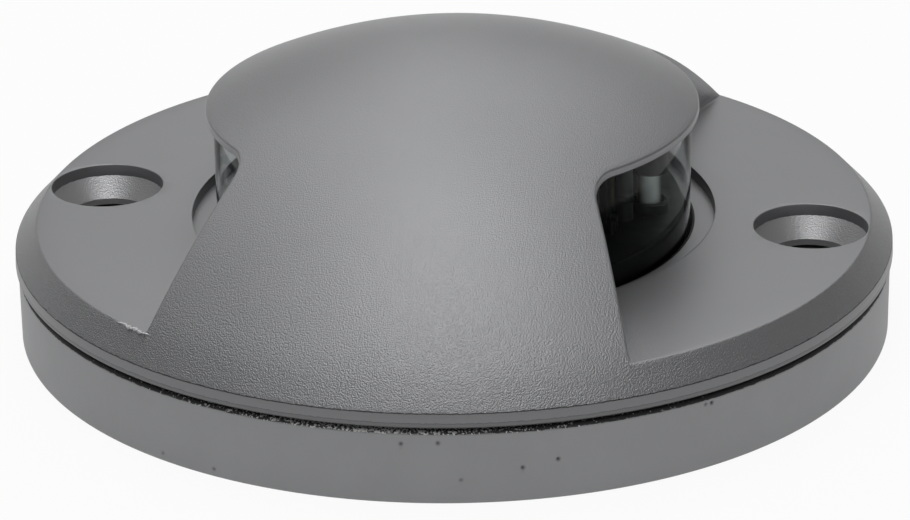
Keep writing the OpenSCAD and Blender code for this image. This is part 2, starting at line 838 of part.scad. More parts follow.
// Cable gland
module cable_gland() {
    color([0.15, 0.15, 0.15])
        translate([0, gland_y, 0])
            difference() {
                union() {
                    translate([0, 0, hex_low])
                        cylinder(d = gland_hex * 2 / sqrt(3), h = gland_hex_h, $fn = 6);
                    translate([0, 0, hex_low]) cylinder(r = gland_d / 2, h = gland_top - hex_low);
                    translate([0, 0, gland_gap + nut_floor])
                        cylinder(r = gland_low_r, h = gland_nut_h - nut_floor + cut);
                }
                cylinder(d = cable_d, h = crown_h);
                cylinder(r = seal_r, h = hex_low);
            }
}

module gland_nut() {
    color([0.15, 0.15, 0.15])
        translate([0, gland_y, 0])
            difference() {
                translate([0, 0, gland_gap]) cylinder(d = gland_hex * 2 / sqrt(3), h = gland_nut_h, $fn = 6);
                translate([0, 0, gland_gap + nut_floor]) cylinder(r = gland_low_r + fit, h = gland_nut_h);
                cylinder(d = cable_d, h = crown_h);
            }
}

module gland_seal() {
    color([0.06, 0.06, 0.06])
        translate([0, gland_y, 0]) ring(seal_r - fit, cable_d / 2 + fit, gland_gap + nut_floor, hex_low);
}

module gland_lock_nut() {
    low = well_z + well_roof_t;
    color([0.15, 0.15, 0.15])
        translate([0, gland_y, low])
            difference() {
                cylinder(d = gland_hex * 2 / sqrt(3), h = lock_nut_h, $fn = 6);
                translate([0, 0, -cut]) cylinder(r = gland_d / 2 + fit, h = lock_nut_h + 2 * cut);
            }
}

module pressure_vent() {
    color([0.2, 0.2, 0.2])
        translate([vent_at[0], vent_at[1], 0])
            difference() {
                union() {
                    translate([0, 0, ground_gap + vent_rise])
                        cylinder(r = vent_hole_r - fit, h = cup_floor_t, $fn = 48);
                    translate([0, 0, cup_floor_z]) cylinder(r = vent_cap_r, h = vent_cap_h, $fn = 48);
                }
                cylinder(r = vent_bore_r, h = cup_floor_z + vent_cap_h / 2, $fn = 32);
            }
}

base_ring();
seam_gasket();
hood();
glass_cylinder();
glass_gasket();
top_seal();
lamp_carrier();
heat_sink();
heat_sink_screws();
thermal_pads();
lamp_board();  // lamp_board_right
mirror([1, 0, 0]) lamp_board();  // lamp_board_left
lamps();
rod_lenses();
lens_posts();
lens_bracket();  // lens_bracket_right
mirror([1, 0, 0]) lens_bracket();  // lens_bracket_left
bracket_screws();
lamp_leads();
rear_cup();
cup_gasket();
cup_screws();
driver_case();
driver_board();
driver_lid();
terminal_block();
terminal_screws();
supply_leads();
earth_lead();
earth_screw();
cable_gland();
gland_nut();
gland_seal();
gland_lock_nut();
pressure_vent();
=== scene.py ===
"""Walkover ground light: the detailed pieces, finishes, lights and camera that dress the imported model.

Lengths are in metres. The origin is the middle of the base ring's underside. X runs through the two fixing
holes and the two windows, -Y is the front of the ramp and +Z is up.
"""

import json
import math

import bmesh
import bpy
import numpy as np
from bpy.props import FloatProperty, FloatVectorProperty, IntProperty, PointerProperty
from bpy.types import Operator, Panel, PropertyGroup
from mathutils import Matrix, Vector


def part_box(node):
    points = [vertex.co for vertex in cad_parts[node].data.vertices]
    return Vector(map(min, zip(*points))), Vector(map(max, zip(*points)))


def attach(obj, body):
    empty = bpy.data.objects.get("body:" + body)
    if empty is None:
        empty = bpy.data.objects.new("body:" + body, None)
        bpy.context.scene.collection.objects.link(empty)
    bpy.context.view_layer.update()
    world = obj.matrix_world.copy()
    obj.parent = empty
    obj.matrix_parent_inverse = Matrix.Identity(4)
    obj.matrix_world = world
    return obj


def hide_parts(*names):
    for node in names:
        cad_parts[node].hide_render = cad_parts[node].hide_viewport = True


bl_info = {
    "name": "Walkover Ground Light",
    "version": (1, 0, 0),
    "blender": (4, 5, 0),
    "location": "View3D > Sidebar > Ground Light",
    "description": "Builds the detailed pieces, finishes, lights and camera of a walkover ground light",
    "category": "Add Mesh",
}

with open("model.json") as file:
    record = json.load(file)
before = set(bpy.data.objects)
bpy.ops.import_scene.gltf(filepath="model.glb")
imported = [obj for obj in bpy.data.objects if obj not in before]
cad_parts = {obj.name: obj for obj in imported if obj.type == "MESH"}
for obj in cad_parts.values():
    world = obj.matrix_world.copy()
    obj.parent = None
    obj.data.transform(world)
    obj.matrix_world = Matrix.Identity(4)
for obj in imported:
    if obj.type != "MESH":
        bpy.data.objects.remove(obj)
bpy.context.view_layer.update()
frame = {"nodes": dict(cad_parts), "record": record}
NODES = frame["nodes"]
BASE = "base"
HEAD = "head"

HOOD_LOW, HOOD_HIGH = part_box("hood")
GLASS_LOW, GLASS_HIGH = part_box("glass_cylinder")
GASKET_LOW, GASKET_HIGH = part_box("glass_gasket")
CARRIER_LOW, CARRIER_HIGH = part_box("lamp_carrier")
ROD_LOW, ROD_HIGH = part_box("rod_lenses")
POST_LOW, POST_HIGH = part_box("lens_posts")
LAMP_LOW, LAMP_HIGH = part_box("lamps")
RING_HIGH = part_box("base_ring")[1]
BOARD_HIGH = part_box("lamp_board_right")[1]
ROUND = 2 * math.pi
# How far a cutter reaches beyond its piece
OVERCUT = 0.001
BELOW_HOOD = HOOD_LOW.z - OVERCUT
# Gap between a rod lens and its seat or sleeve
ROD_GAP = 0.00005


# Sizes and colours that a user would change


def length(name, default, description):
    """A length that the sidebar can change."""
    return FloatProperty(
        name=name, description=description, default=default, unit="LENGTH", precision=5
    )


def angle(name, degrees, description):
    """An angle that the sidebar can change."""
    return FloatProperty(
        name=name, description=description, default=math.radians(degrees), subtype="ANGLE"
    )


def colour(name, default, description):
    """A colour that the sidebar can change."""
    return FloatVectorProperty(
        name=name, description=description, default=default, size=3, subtype="COLOR", min=0, max=1
    )


def plain(name, default, description):
    """A plain number that the sidebar can change."""
    return FloatProperty(name=name, description=description, default=default, precision=4)


class HoodSettings(PropertyGroup):
    """Sizes and coat of the cast hood."""

    plate_height: length("Plate height", 0.0181, "Height of the flat plates above the ground")
    band_height: length("Band height", 0.0020, "Height of the upright band round the rim")
    band_draft: length("Band draft", 0.0001, "How far the band leans in over its height")
    bevel_width: length("Bevel width", 0.0035, "Width of the bevel between band and plates")
    rim_chamfer: length("Rim chamfer", 0.0004, "Chamfer under the rim")
    coat_end: length("Coat end", 0.0001, "How far the sand coat ends above the band")
    # The dark line where the sand coat ends is a painted shadow of the coat's edge
    coat_line: length("Coat line", 0.00007, "Half the width of the dark line where the sand coat ends")
    skirt_height: length("Skirt height", 0.0009, "Height of the darker strip under the band")
    ramp_blend: length("Ramp blend", 0.0005, "Softness of the step from a ramp to the bevel")
    ramp_half_width: length("Ramp half width", 0.016, "Half the ramp's width across the middle")
    ramp_angle: angle("Ramp angle", 20, "Angle between a ramp side and the front to back line")
    corner_radius: length("Corner radius", 0.0075, "Radius between a ramp side and the cap's lip")
    cap_radius: length("Cap radius", 0.039, "Radius of the cap's lip over a window")
    lip_thickness: length("Lip thickness", 0.001, "Thickness of the cap's lip")
    bore_radius: length("Bore radius", 0.0385, "Radius of the lamp chamber")
    bore_lip: length("Bore lip", 0.0004, "How far a thin lip narrows the bore at the recess")
    crown_thickness: length("Crown thickness", 0.003, "Thickness of the crown over the chamber")
    recess_radius: length("Recess radius", 0.0417, "Radius of the round recess at the glass")
    recess_depth: length("Recess depth", 0.00185, "Depth of the round recess")
    core_wall: length("Core wall", 0.0035, "Wall left round the pockets under the ramp")
    core_radius: length("Core radius", 0.0515, "Inner radius of the pockets under the ramp")
    foot_grain: length("Foot grain", 0.013, "How far grains lie on the plate beside the right ramp side")
    foot_start: length("Foot start", 0.028, "Distance to the front from which grains lie on the plate")
    edge_radius: length("Edge radius", 0.0003, "Rounding of the ramp's and the cap's top edge")
    foot_radius: length("Foot radius", 0.0006, "Rounding at the foot of the ramp")
    burr_radius: length("Burr radius", 0.00036, "Thickness of the burr on a plate's edge")
    rim_radius: length("Rim rounding", 0.00025, "Rounding between the plates and the bevel")
    sink_place: length("Fixing hole place", 0.05715, "Distance of a fixing hole from the middle")
    sink_radius: length("Countersink radius", 0.009, "Radius of the countersink's mouth")
    sink_low_radius: length("Countersink low radius", 0.0065, "Radius under the cone")
    sink_low_height: length("Countersink low height", 0.001, "Height of the hole under the cone")
    sink_wall: length("Countersink wall", 0.0019, "Depth of the countersink's straight wall")
    coat: colour("Coat", (0.270, 0.272, 0.279), "Colour of the sand-textured coat")
    bare_metal: colour("Bare metal", (0.50, 0.50, 0.51), "Colour of the machined countersinks")
    coat_roughness: plain("Coat roughness", 0.42, "Roughness of the coat")
    coat_metal: plain("Coat metal", 0.7, "Share of metal pigment in the coat")
    grain_size: length("Grain size", 0.00023, "Size of the grains of the coat")
    grain_height: length("Grain height", 0.00011, "Height of the grains of the coat")


class RingSettings(PropertyGroup):
    """Sizes and coat of the base ring."""

    bore_radius: length("Bore radius", 0.050, "Radius of the hole through the ring")
    wall: length("Wall", 0.004, "Wall left outside and inside the pockets")
    pocket_depth: length("Pocket depth", 0.007, "Depth of the pockets underneath")
    chamfer: length("Chamfer", 0.0004, "Chamfer round the top edge")
    hole_radius: length("Hole radius", 0.0045, "Radius of the fixing holes")
    pit_radius: length("Pit radius", 0.00028, "Radius of the casting pits on the wall")
    pit_depth: length("Pit depth", 0.0002, "Depth of the casting pits on the wall")
    rough_edge: length("Rough edge", 0.0004, "Height of the rough strip at the top edge")
    coat_roughness: plain("Coat roughness", 0.55, "Roughness of the coat")
    coat_metal: plain("Coat metal", 0.4, "Share of metal pigment in the coat")
    coat: colour("Coat", (0.350, 0.353, 0.361), "Colour of the ring's satin coat")


class LampSettings(PropertyGroup):
    """Sizes of the glass and of what stands inside it."""

    glass_wall: length("Glass wall", 0.0004, "Wall of the glass cylinder")
    glass_edge: length("Glass edge", 0.0001, "Rounding of the rims of the glass")
    gasket_bore: length("Gasket bore", 0.03535, "Radius of the hole through the glass gasket")
    collar_gap: length("Collar gap", 0.00005, "Gap on both sides of the gasket's collar")
    carrier_radius: length("Carrier radius", 0.0353, "Radius of the lamp carrier inside its gasket")
    carrier_top: length("Carrier top", 0.0367, "Radius of the lamp carrier's top")
    carrier_lift: length("Carrier lift", 0.001, "Height of the carrier's top over its packed height")
    carrier_edge: length("Carrier edge", 0.0004, "Rounding of the lamp carrier's top edge")
    seat_wall: length("Seat wall", 0.0006, "Wall of the seat round the foot of a rod lens")
    seat_height: length("Seat height", 0.0018, "Height of the seat round the foot of a rod lens")
    sleeve_start: length("Sleeve start", 0.0259, "Height at which the black sleeve over a rod lens starts")
    rod_diameter: length("Rod diameter", 0.0049, "Diameter of a rod lens in its seat and sleeve")
    rod_waist: length("Rod waist", 0.004, "Diameter of a rod lens between its seat and its sleeve")
    # The rod lens's stripe is a painted highlight; this turns it from the front
    highlight_turn: angle("Stripe turn", 14, "Turn of the milky stripe of a rod lens from the front")
    post_diameter: length("Post diameter", 0.003, "Diameter of a lens post")
    lamp_width: length("Lamp width", 0.003, "Side of the square foot of a lamp")
    lamp_foot: length("Lamp foot", 0.0007, "Thickness of the foot of a lamp")
    lamp_count: IntProperty(name="Lamps", description="Lamps on each board", default=3, min=1)


class StageSettings(PropertyGroup):
    """Camera and lights."""

    elevation: angle("Camera elevation", 23.26, "Height of the camera as an angle")
    azimuth: angle("Camera azimuth", 10.654, "Turn of the camera about the object")
    roll: angle("Camera roll", -0.796, "Roll of the camera about its own axis")
    distance: length("Camera distance", 0.6146, "Distance of the camera from its aim")
    aim_right: length("Aim right", 0.00011, "Camera aim to the right of the origin")
    aim_up: length("Aim up", 0.00785, "Camera aim above the origin across the view")
    lens: plain("Lens", 150.3, "Focal length of the camera in millimetres on a 36 mm sensor")
    floor_radius: length("Floor radius", 4.0, "Radius of the floor")
    backdrop_height: length("Backdrop height", 0.5, "Height of the backdrop round the floor")
    floor_white: plain("Floor white", 0.93, "Share of plain white in the floor as it is seen")
    world_light: plain("World light", 0.11, "Strength of the even light from all round")
    light_power: plain("Light power", 1.0, "Factor on the power of every soft light")
    light_distance: length("Light distance", 0.9, "Distance of the soft lights from the object")


def settings(name):
    """The property group of that name on the scene."""
    return getattr(bpy.context.scene, "ground_light_" + name)


# Meshes from numpy arrays


def around(r, turn, z):
    """Points at radius r, turn t and height z: (r cos t, r sin t, z)."""
    return np.stack([r * np.cos(turn), r * np.sin(turn), z + 0 * turn], -1)


def unit(turn):
    """Unit vectors in plan at those turns."""
    return np.stack([np.cos(turn), np.sin(turn)], -1)


def grid_faces(rows, columns):
    """Quads of a grid that is numbered row by row and whose last column joins the first."""
    i, j = np.meshgrid(np.arange(rows - 1), np.arange(columns), indexing="ij")
    k = (j + 1) % columns
    quads = [i * columns + j, (i + 1) * columns + j, (i + 1) * columns + k, i * columns + k]
    return np.stack(quads, -1).reshape(-1, 4)


def new_mesh(name, vertices, faces, merge=1e-7):
    """A mesh of those vertices and faces, with doubles merged and every shell facing outwards."""
    mesh = bpy.data.meshes.new(name)
    mesh.from_pydata(vertices.reshape(-1, 3).tolist(), [], [list(f) for f in faces])
    work = bmesh.new()
    work.from_mesh(mesh)
    bmesh.ops.remove_doubles(work, verts=work.verts, dist=merge)
    bmesh.ops.dissolve_degenerate(work, edges=work.edges, dist=merge)
    bmesh.ops.recalc_face_normals(work, faces=work.faces)
    work.to_mesh(mesh)
    work.free()
    return mesh


def turned(profile, steps):
    """Vertices and faces of a profile of (r, z) points turned about the Z axis."""
    turn = np.linspace(0, ROUND, steps, endpoint=False)
    r, z = np.asarray(profile, float).T[:, :, None]
    return around(r, turn, z).reshape(-1, 3), grid_faces(len(profile), steps)


def rounded(corners, radii, steps=5):
    """A profile with soft corners: from a point at distance q before a corner P to one at q after it, the
    curve is (1 - t)^2 A + 2 t (1 - t) P + t^2 B."""
    corners = np.asarray(corners, float)
    points = [corners[0]]
    t = np.linspace(0, 1, steps)[:, None]
    for before, corner, after, q in zip(corners[:-2], corners[1:-1], corners[2:], radii):
        a = corner + q * (before - corner) / np.linalg.norm(before - corner)
        b = corner + q * (after - corner) / np.linalg.norm(after - corner)
        points.extend((1 - t) ** 2 * a + 2 * t * (1 - t) * corner + t**2 * b)
    points.append(corners[-1])
    return np.array(points)


def turned_solid(corners, radii, steps, bend=4):
    """A turned shape whose profile closes on itself, with every corner but the first one soft."""
    return turned(rounded([*corners, corners[0]], radii, bend), steps)


def joined(*shapes):
    """Several (vertices, faces) pairs as one."""
    vertices, faces, start = [], [], 0
    for points, quads in shapes:
        vertices.append(np.asarray(points, float).reshape(-1, 3))
        faces.extend([[int(v) + start for v in face] for face in quads])
        start += len(vertices[-1])
    return np.concatenate(vertices), faces


def moved(shape, offset):
    """A (vertices, faces) pair moved by offset."""
    points, faces = shape
    return np.asarray(points).reshape(-1, 3) + np.asarray(offset, float), faces


def on_both_sides(shape, x):
    """The shape at -x and at x, as one."""
    return joined(*[moved(shape, (side * x, 0, 0)) for side in (-1, 1)])


def cut_away(piece, shape):
    """Takes the space that the shape fills out of the piece."""
    cutter = new_mesh("cutter", *shape)
    tool = bpy.data.objects.new("cutter", cutter)
    bpy.context.scene.collection.objects.link(tool)
    cut = piece.modifiers.new("cut", "BOOLEAN")
    cut.operation = "DIFFERENCE"
    cut.solver = "EXACT"
    cut.object = tool
    whole = piece.data
    piece.data = bpy.data.meshes.new_from_object(
        piece.evaluated_get(bpy.context.evaluated_depsgraph_get())
    )
    piece.modifiers.clear()
    bpy.data.meshes.remove(whole)
    bpy.data.objects.remove(tool)
    bpy.data.meshes.remove(cutter)


def add_piece(name, shape, body, slot, replaces=(), cutters=(), sharp=35, look=None):
    """Puts a piece in the scene: its shape without the cutters, smooth up to the sharp angle.

    It rides on a body, has the finish of its slot, or another look, and stands for the CAD nodes it replaces.
    """
    piece = bpy.data.objects.new(name, new_mesh(name, *shape))
    bpy.context.scene.collection.objects.link(piece)
    for cutter in cutters:
        cut_away(piece, cutter)
    piece.data.shade_smooth()
    piece.data.set_sharp_from_angle(angle=math.radians(sharp))
    piece.data.materials.clear()
    piece.data.materials.append(finish(look or slot))
    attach(piece, body)
    if replaces:
        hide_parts(*replaces)
    return piece


def places_of(mesh):
    """The x, y and z of all vertices of a mesh."""
    places = np.empty(3 * len(mesh.vertices))
    mesh.vertices.foreach_get("co", places)
    return places.reshape(-1, 3).T


def write_mark(mesh, name, values):
    """Writes a number for each vertex to the attribute of that name, kept between 0 and 1."""
    mesh.attributes.new(name, "FLOAT", "POINT").data.foreach_set("value", np.clip(values, 0, 1))


# Fields and groups of shader nodes


def math_node(operation, flipped=False):
    """A method that makes a Math node of a field and the other operand, or of both the other way round."""

    def method(self, *others):
        node = self.tree.nodes.new("ShaderNodeMath")
        node.operation = operation
        for socket, value in zip(node.inputs, (*others, self) if flipped else (self, *others)):
            feed(socket, value)
        return Field(node.outputs[0])

    return method


class Field:
    """A value in a node tree. Arithmetic on it adds Math nodes: > and < give 1 or 0, | the larger value."""

    def __init__(self, socket):
        self.socket = socket
        self.tree = socket.id_data

    __add__ = math_node("ADD")
    __sub__ = math_node("SUBTRACT")
    __rsub__ = math_node("SUBTRACT", flipped=True)
    __mul__ = math_node("MULTIPLY")
    __truediv__ = math_node("DIVIDE")
    __rtruediv__ = math_node("DIVIDE", flipped=True)
    __lt__ = math_node("LESS_THAN")
    __gt__ = math_node("GREATER_THAN")
    __or__ = math_node("MAXIMUM")
    __abs__ = math_node("ABSOLUTE")


def feed(socket, value):
    """Links a field to a socket, or writes a number or a colour on it."""
    if isinstance(value, Field):
        value.tree.links.new(value.socket, socket)
    else:
        socket.default_value = value


def put(node, **values):
    """Feeds the sockets of those names; a name that is no socket is one of the node's own settings."""
    for key, value in values.items():
        label = key.replace("_", " ")
        if label in node.inputs:
            feed(node.inputs[label], value)
        else:
            setattr(node, key, value)
    return node


def node_in(tree, kind, **values):
    """A new node with those values."""
    return put(tree.nodes.new(kind), **values)


def noise(place, scale, detail=2.0, roughness=0.5):
    """Noise between 0 and 1 at a place; 1 / scale is the size of its blobs in metres."""
    kind = "ShaderNodeTexNoise"
    node = node_in(place.tree, kind, Vector=place, Scale=scale, Detail=detail, Roughness=roughness)
    return Field(node.outputs["Fac"])


def apart(place):
    """The x, y and z of a place."""
    return [Field(socket) for socket in node_in(place.tree, "ShaderNodeSeparateXYZ", Vector=place).outputs]


def ramp(mask, low, high):
    """A mask carried from one (place, value) to another, and level outside them."""
    node = node_in(mask.tree, "ShaderNodeValToRGB", Fac=mask)
    for element, (place, grey) in zip(node.color_ramp.elements, (low, high)):
        element.position = place
        element.color = (grey, grey, grey, 1)
    return Field(node.outputs["Color"])


def group_in(tree, name, build, inputs, outputs):
    """The fields that the shader node group of that name puts out.

    The group is made once: build makes its outputs from the Object coordinates and from its inputs.
    """
    group = bpy.data.node_groups.get(name)
    if group is None:
        group = bpy.data.node_groups.new(name, "ShaderNodeTree")
        for label, value in inputs.items():
            socket = group.interface.new_socket(label, in_out="INPUT", socket_type="NodeSocketFloat")
            socket.default_value = value
        for label in outputs:
            group.interface.new_socket(label, in_out="OUTPUT", socket_type="NodeSocketFloat")
        place = Field(group.nodes.new("ShaderNodeTexCoord").outputs["Object"])
        start = group.nodes.new("NodeGroupInput")
        end = group.nodes.new("NodeGroupOutput")
        found = build(place, *[Field(start.outputs[label]) for label in inputs])
        for label, field in zip(outputs, found):
            feed(end.inputs[label], field)
    node = node_in(tree, "ShaderNodeGroup", node_tree=group)
    for label, value in inputs.items():
        feed(node.inputs[label], value)
    return [Field(node.outputs[label]) for label in outputs]


def grain_fields(place, size, mottle_size):
    """Sand grain: fine round bumps and two noises, with a faint mottle of the colour.

    Height is 0.45 fine noise + 0.1 coarse noise + 0.45 (1 - d), where d is the distance to the next grain's
    middle. Mottle is a slow noise between 0 and 1.
    """
    soft = 0.55
    fine_scale = 1.0 / size
    cells = node_in(place.tree, "ShaderNodeTexVoronoi", feature="F1", Vector=place, Scale=fine_scale)
    bumps = 1.0 - Field(cells.outputs["Distance"])
    fine = noise(place, fine_scale, roughness=soft)
    coarse = noise(place, 0.4 / size, 1.0, soft)
    return fine * 0.45 + coarse * 0.1 + bumps * 0.45, noise(place, 1.0 / mottle_size, 3.0, soft)


def edge_fields(place, top, height):
    """Rough strip under a top edge: Rough is 1 from a jagged line up, Specks marks its bright grains.

    The line lies at Top - Height (0.4 + 1.2 n) with a noise n. The bright grains thin out sideways with |x|.
    """
    x, _, z = apart(place)
    share = noise(place, 1300.0) * 1.2 + 0.4
    rough = z > top - share * height
    bright = noise(place, 2600.0) > abs(x) * 5.0 + 0.48
    return rough, rough * bright


def zone_fields(place):
    """Zones of the hood casting by place.

    The ramps lie between their two side lines, |x| cos a - |y| sin a < n. Raised covers the crown and the
    ramps down to the band's top and grows outwards, 0.35 + 0.65 (r / R)^2. Chamber marks the painted shade
    inside the lamp chamber: 1 above the recess's floor and under the crown, whose outside follows
    z = c - (c - p) (r / R)^2: up to the bore's wall below the plates and short of it above them. Band is 1 on
    the band. Line is a painted shadow along the rough edge where the sand coat ends, with a second line and a
    darker strip under the band. Sink is 1 on a countersink's cone and below it. Foot grows to 1 at the right
    ramp side under the window.
    """
    s = settings("hood")
    x, y, z = apart(place)
    near = ramp_side(s)
    rim = plate_radius(s)
    plate = s.plate_height
    # How far the zones reach beyond the faces that they colour
    over_plates, round_sink, round_bore = 0.0003, 0.00005, 0.00002
    short_of_bore, under_recess = 0.0002, 0.0001
    ragged, skirt_line_share, skirt_share = 0.0008, 0.7, 0.35
    sway = (noise(place, 1400.0) - 0.5) * ragged
    jagged = sway * 0.4
    beyond = abs(x) * math.cos(s.ramp_angle) - abs(y) * math.sin(s.ramp_angle)
    on_ramp = beyond < near
    high = z > plate + over_plates
    above_band = z - jagged - (band_top(s) + s.coat_end)
    over_band = above_band > 0.0
    above_skirt = z - (HOOD_LOW.z + s.skirt_height)
    skirt_line = abs(above_skirt - jagged) < s.coat_line
    # Painted shadow: a thin dark line just under the edge where the sand coat ends
    coat_line = abs(above_band + s.coat_line) < s.coat_line
    line = coat_line | skirt_line * skirt_line_share | (above_skirt < 0.0) * skirt_share
    squared = x * x + y * y
    growth = squared * (0.65 / rim**2) + 0.35
    raised = (on_ramp | high | (squared > rim**2)) * over_band * growth
    beside = abs(x) - s.sink_place
    in_hole = beside * beside + y * y < (s.sink_radius + round_sink) ** 2
    deep = z + sway * 0.6 < plate - s.sink_wall
    under = z + squared * ((HOOD_HIGH.z - plate) / rim**2) < HOOD_HIGH.z - 0.6 * s.lip_thickness
    wall = (s.bore_radius + round_bore) ** 2
    short = (s.bore_radius - short_of_bore) ** 2
    inside = squared < wall - high * (wall - short)
    # Painted shade inside the lamp chamber, under the crown and within the bore
    chamber = under * inside * (z > plate - s.recess_depth - under_recess)
    close = (1.0 - (beyond - near) / s.foot_grain) | 0.0
    quarter = (x > 0.0) * (y < -s.foot_start) * (1.0 - on_ramp) * over_band
    return raised, chamber, 1.0 - over_band, line, in_hole * deep, close * close * quarter


def grain_in(tree, size, mottle_size):
    """Height and mottle of the sand grain at those sizes."""
    sizes = {"Size": size, "Mottle Size": mottle_size}
    return group_in(tree, "Sand Grain", grain_fields, sizes, ("Height", "Mottle"))


# Finishes


# Colour of the painted shade inside the lamp chamber
NEARLY_BLACK = (0.008, 0.008, 0.008, 1)


def new_material(name):
    """An empty node material and its Principled shader, already joined to the output."""
    material = bpy.data.materials.new(name)
    material.use_nodes = True
    tree = material.node_tree
    tree.nodes.clear()
    shader = tree.nodes.new("ShaderNodeBsdfPrincipled")
    node_in(tree, "ShaderNodeOutputMaterial", Surface=Field(shader.outputs["BSDF"]))
    return material, tree, shader


def shade(base, share=1.0):
    """A colour made darker or lighter by a share."""
    return (*(c * share for c in base), 1)


def mixed(under, over, mask):
    """The colour under, covered with the colour over where the mask is 1."""
    mix = node_in(mask.tree, "ShaderNodeMix", data_type="RGBA", A=under, B=over, Factor=mask)
    return Field(mix.outputs["Result"])


def mark_in(tree, name):
    """The attribute of that name."""
    return Field(node_in(tree, "ShaderNodeAttribute", attribute_name=name).outputs["Fac"])


def bump(shader, height, distance):
    """A bump of that height field on the shader's normal."""
    node = node_in(height.tree, "ShaderNodeBump", Strength=1.0, Distance=distance, Height=height)
    put(shader, Normal=Field(node.outputs["Normal"]))


def sand_coat():
    """Grey sand-textured coat of the hood."""
    s = settings("hood")
    material, tree, shader = new_material("sand_coat")
    height, mottle = grain_in(tree, s.grain_size, mottle_size=0.012)
    zones = ("Raised", "Chamber", "Band", "Line", "Sink", "Foot")
    raised, chamber, band, line, sink, foot = group_in(tree, "Cast Zones", zone_fields, {}, zones)
    base = mixed(shade(s.coat, 0.97), shade(s.coat, 1.03), mottle)
    base = mixed(base, shade(s.coat, 0.73), band)
    # Painted shadow along the sand coat's edge, with the second line and the darker strip under the band
    base = mixed(base, shade(s.coat, 0.3), line)
    base = mixed(base, shade(s.bare_metal), sink)
    # Painted shade: the chamber's inside is nearly black and fully metallic, so it stays dark under the light
    # that comes in through the glass
    base = mixed(base, NEARLY_BLACK, chamber)
    put(shader, Base_Color=base, Metallic=chamber | s.coat_metal, Roughness=s.coat_roughness)
    # Sand grain on the raised part, the coarser the lower it lies, and very little elsewhere
    share = (raised | foot | sink * 0.6) * (1.0 - chamber) + 0.06
    bump(shader, (height - 0.5) * share, s.grain_height)
    return material


def ring_paint():
    """Satin grey coat of the base ring, with faint casting marks and painted shade in the casting pits."""
    s = settings("ring")
    material, tree, shader = new_material("ring_paint")
    height, mottle = grain_in(tree, size=0.0012, mottle_size=0.01)
    edge = {"Top": RING_HIGH.z, "Height": s.rough_edge}
    rough, specks = group_in(tree, "Rough Edge", edge_fields, edge, ("Rough", "Specks"))
    base = mixed(shade(s.coat, 0.93), shade(s.coat, 1.06), mottle)
    # Painted shade in the casting pits, darkest where a pit is deepest
    base = mixed(base, shade(s.coat, 0.08), mark_in(tree, "pit"))
    base = mixed(base, shade(s.coat, 0.22), rough)
    base = mixed(base, (0.85, 0.85, 0.84, 1), specks)
    put(shader, Base_Color=base, Metallic=s.coat_metal, Roughness=s.coat_roughness)
    bump(shader, height, distance=0.00003)
    return material


def clear_glass():
    """Clear glass of the cylinder: it bends light little, and a thin coat gives it its reflections."""
    material, tree, shader = new_material("clear_glass")
    _, mottle = grain_in(tree, size=0.004, mottle_size=0.01)
    put(shader, Base_Color=(0.93, 0.96, 0.95, 1), Roughness=ramp(mottle, (0.3, 0.01), (0.8, 0.05)))
    put(shader, Transmission_Weight=1.0, IOR=1.05, Coat_Weight=1.0, Coat_IOR=1.15)
    return material


def lens_acrylic():
    """Acrylic of the rod lenses: dark and clear, with a painted highlight, a pale and faintly green stripe
    down one side of each rod.
    """
    material, tree, shader = new_material("lens_acrylic")
    _, mottle = grain_in(tree, size=0.002, mottle_size=0.004)
    # Painted highlight: the stripe is pale where a rod's wall faces the front and dark at its sides
    base = mixed((0.12, 0.14, 0.135, 1), (0.86, 0.95, 0.93, 1), mark_in(tree, "stripe"))
    put(shader, Base_Color=base, Roughness=ramp(mottle, (0.3, 0.06), (0.7, 0.14)))
    put(shader, Transmission_Weight=0.1, IOR=1.49)
    return material


def smooth_finish(name, base, roughness, grain, height, metallic=0.0, gloss=0.5):
    """A smooth finish with a faint mottle and a fine unevenness."""
    material, tree, shader = new_material(name)
    bumps, mottle = grain_in(tree, grain, grain * 12)
    rough = ramp(mottle, (0.3, roughness * 0.85), (0.7, roughness * 1.15))
    put(shader, Base_Color=mixed(shade(base, 0.9), shade(base, 1.1), mottle), Roughness=rough)
    put(shader, Metallic=metallic, Specular_IOR_Level=gloss)
    bump(shader, bumps, height)
    return material


# Colour, roughness, size and height of the unevenness, metal share and gloss of the smooth finishes
SMOOTH_FINISHES = {
    "bare_casting": ((0.55, 0.55, 0.56), 0.5, 0.0003, 0.0001, 0.5),
    "black_rubber": ((0.012, 0.012, 0.012), 0.75, 0.0006, 0.00002),
    "black_anodised": ((0.010, 0.010, 0.011), 0.5, 0.0004, 0.00001, 0.0, 0.2),
    "screw_steel": ((0.55, 0.55, 0.56), 0.3, 0.0005, 0.00001, 1.0),
    "pad_grey": ((0.3, 0.3, 0.32), 0.8, 0.0006, 0.00003),
    "board_black": ((0.012, 0.015, 0.012), 0.25, 0.0009, 0.00002),
    "lamp_resin": ((0.75, 0.60, 0.2), 0.2, 0.0008, 0.00001),
    "gloss_black": ((0.03, 0.032, 0.032), 0.3, 0.0008, 0.000005),
    "lead_black": ((0.012, 0.012, 0.012), 0.35, 0.0008, 0.00001),
    "lead_brown": ((0.12, 0.05, 0.02), 0.35, 0.0008, 0.00001),
    "lead_green": ((0.12, 0.30, 0.04), 0.35, 0.0008, 0.00001),
    "cup_metal": ((0.17, 0.17, 0.175), 0.5, 0.0006, 0.00004),
    "case_black": ((0.02, 0.02, 0.02), 0.6, 0.0005, 0.00003),
    "board_green": ((0.015, 0.11, 0.04), 0.3, 0.0009, 0.00002),
    "terminal_white": ((0.6, 0.59, 0.55), 0.45, 0.0006, 0.00002),
    "screw_brass": ((0.62, 0.46, 0.2), 0.3, 0.0005, 0.00001, 1.0),
    "gland_black": ((0.02, 0.02, 0.02), 0.45, 0.0005, 0.00003),
}
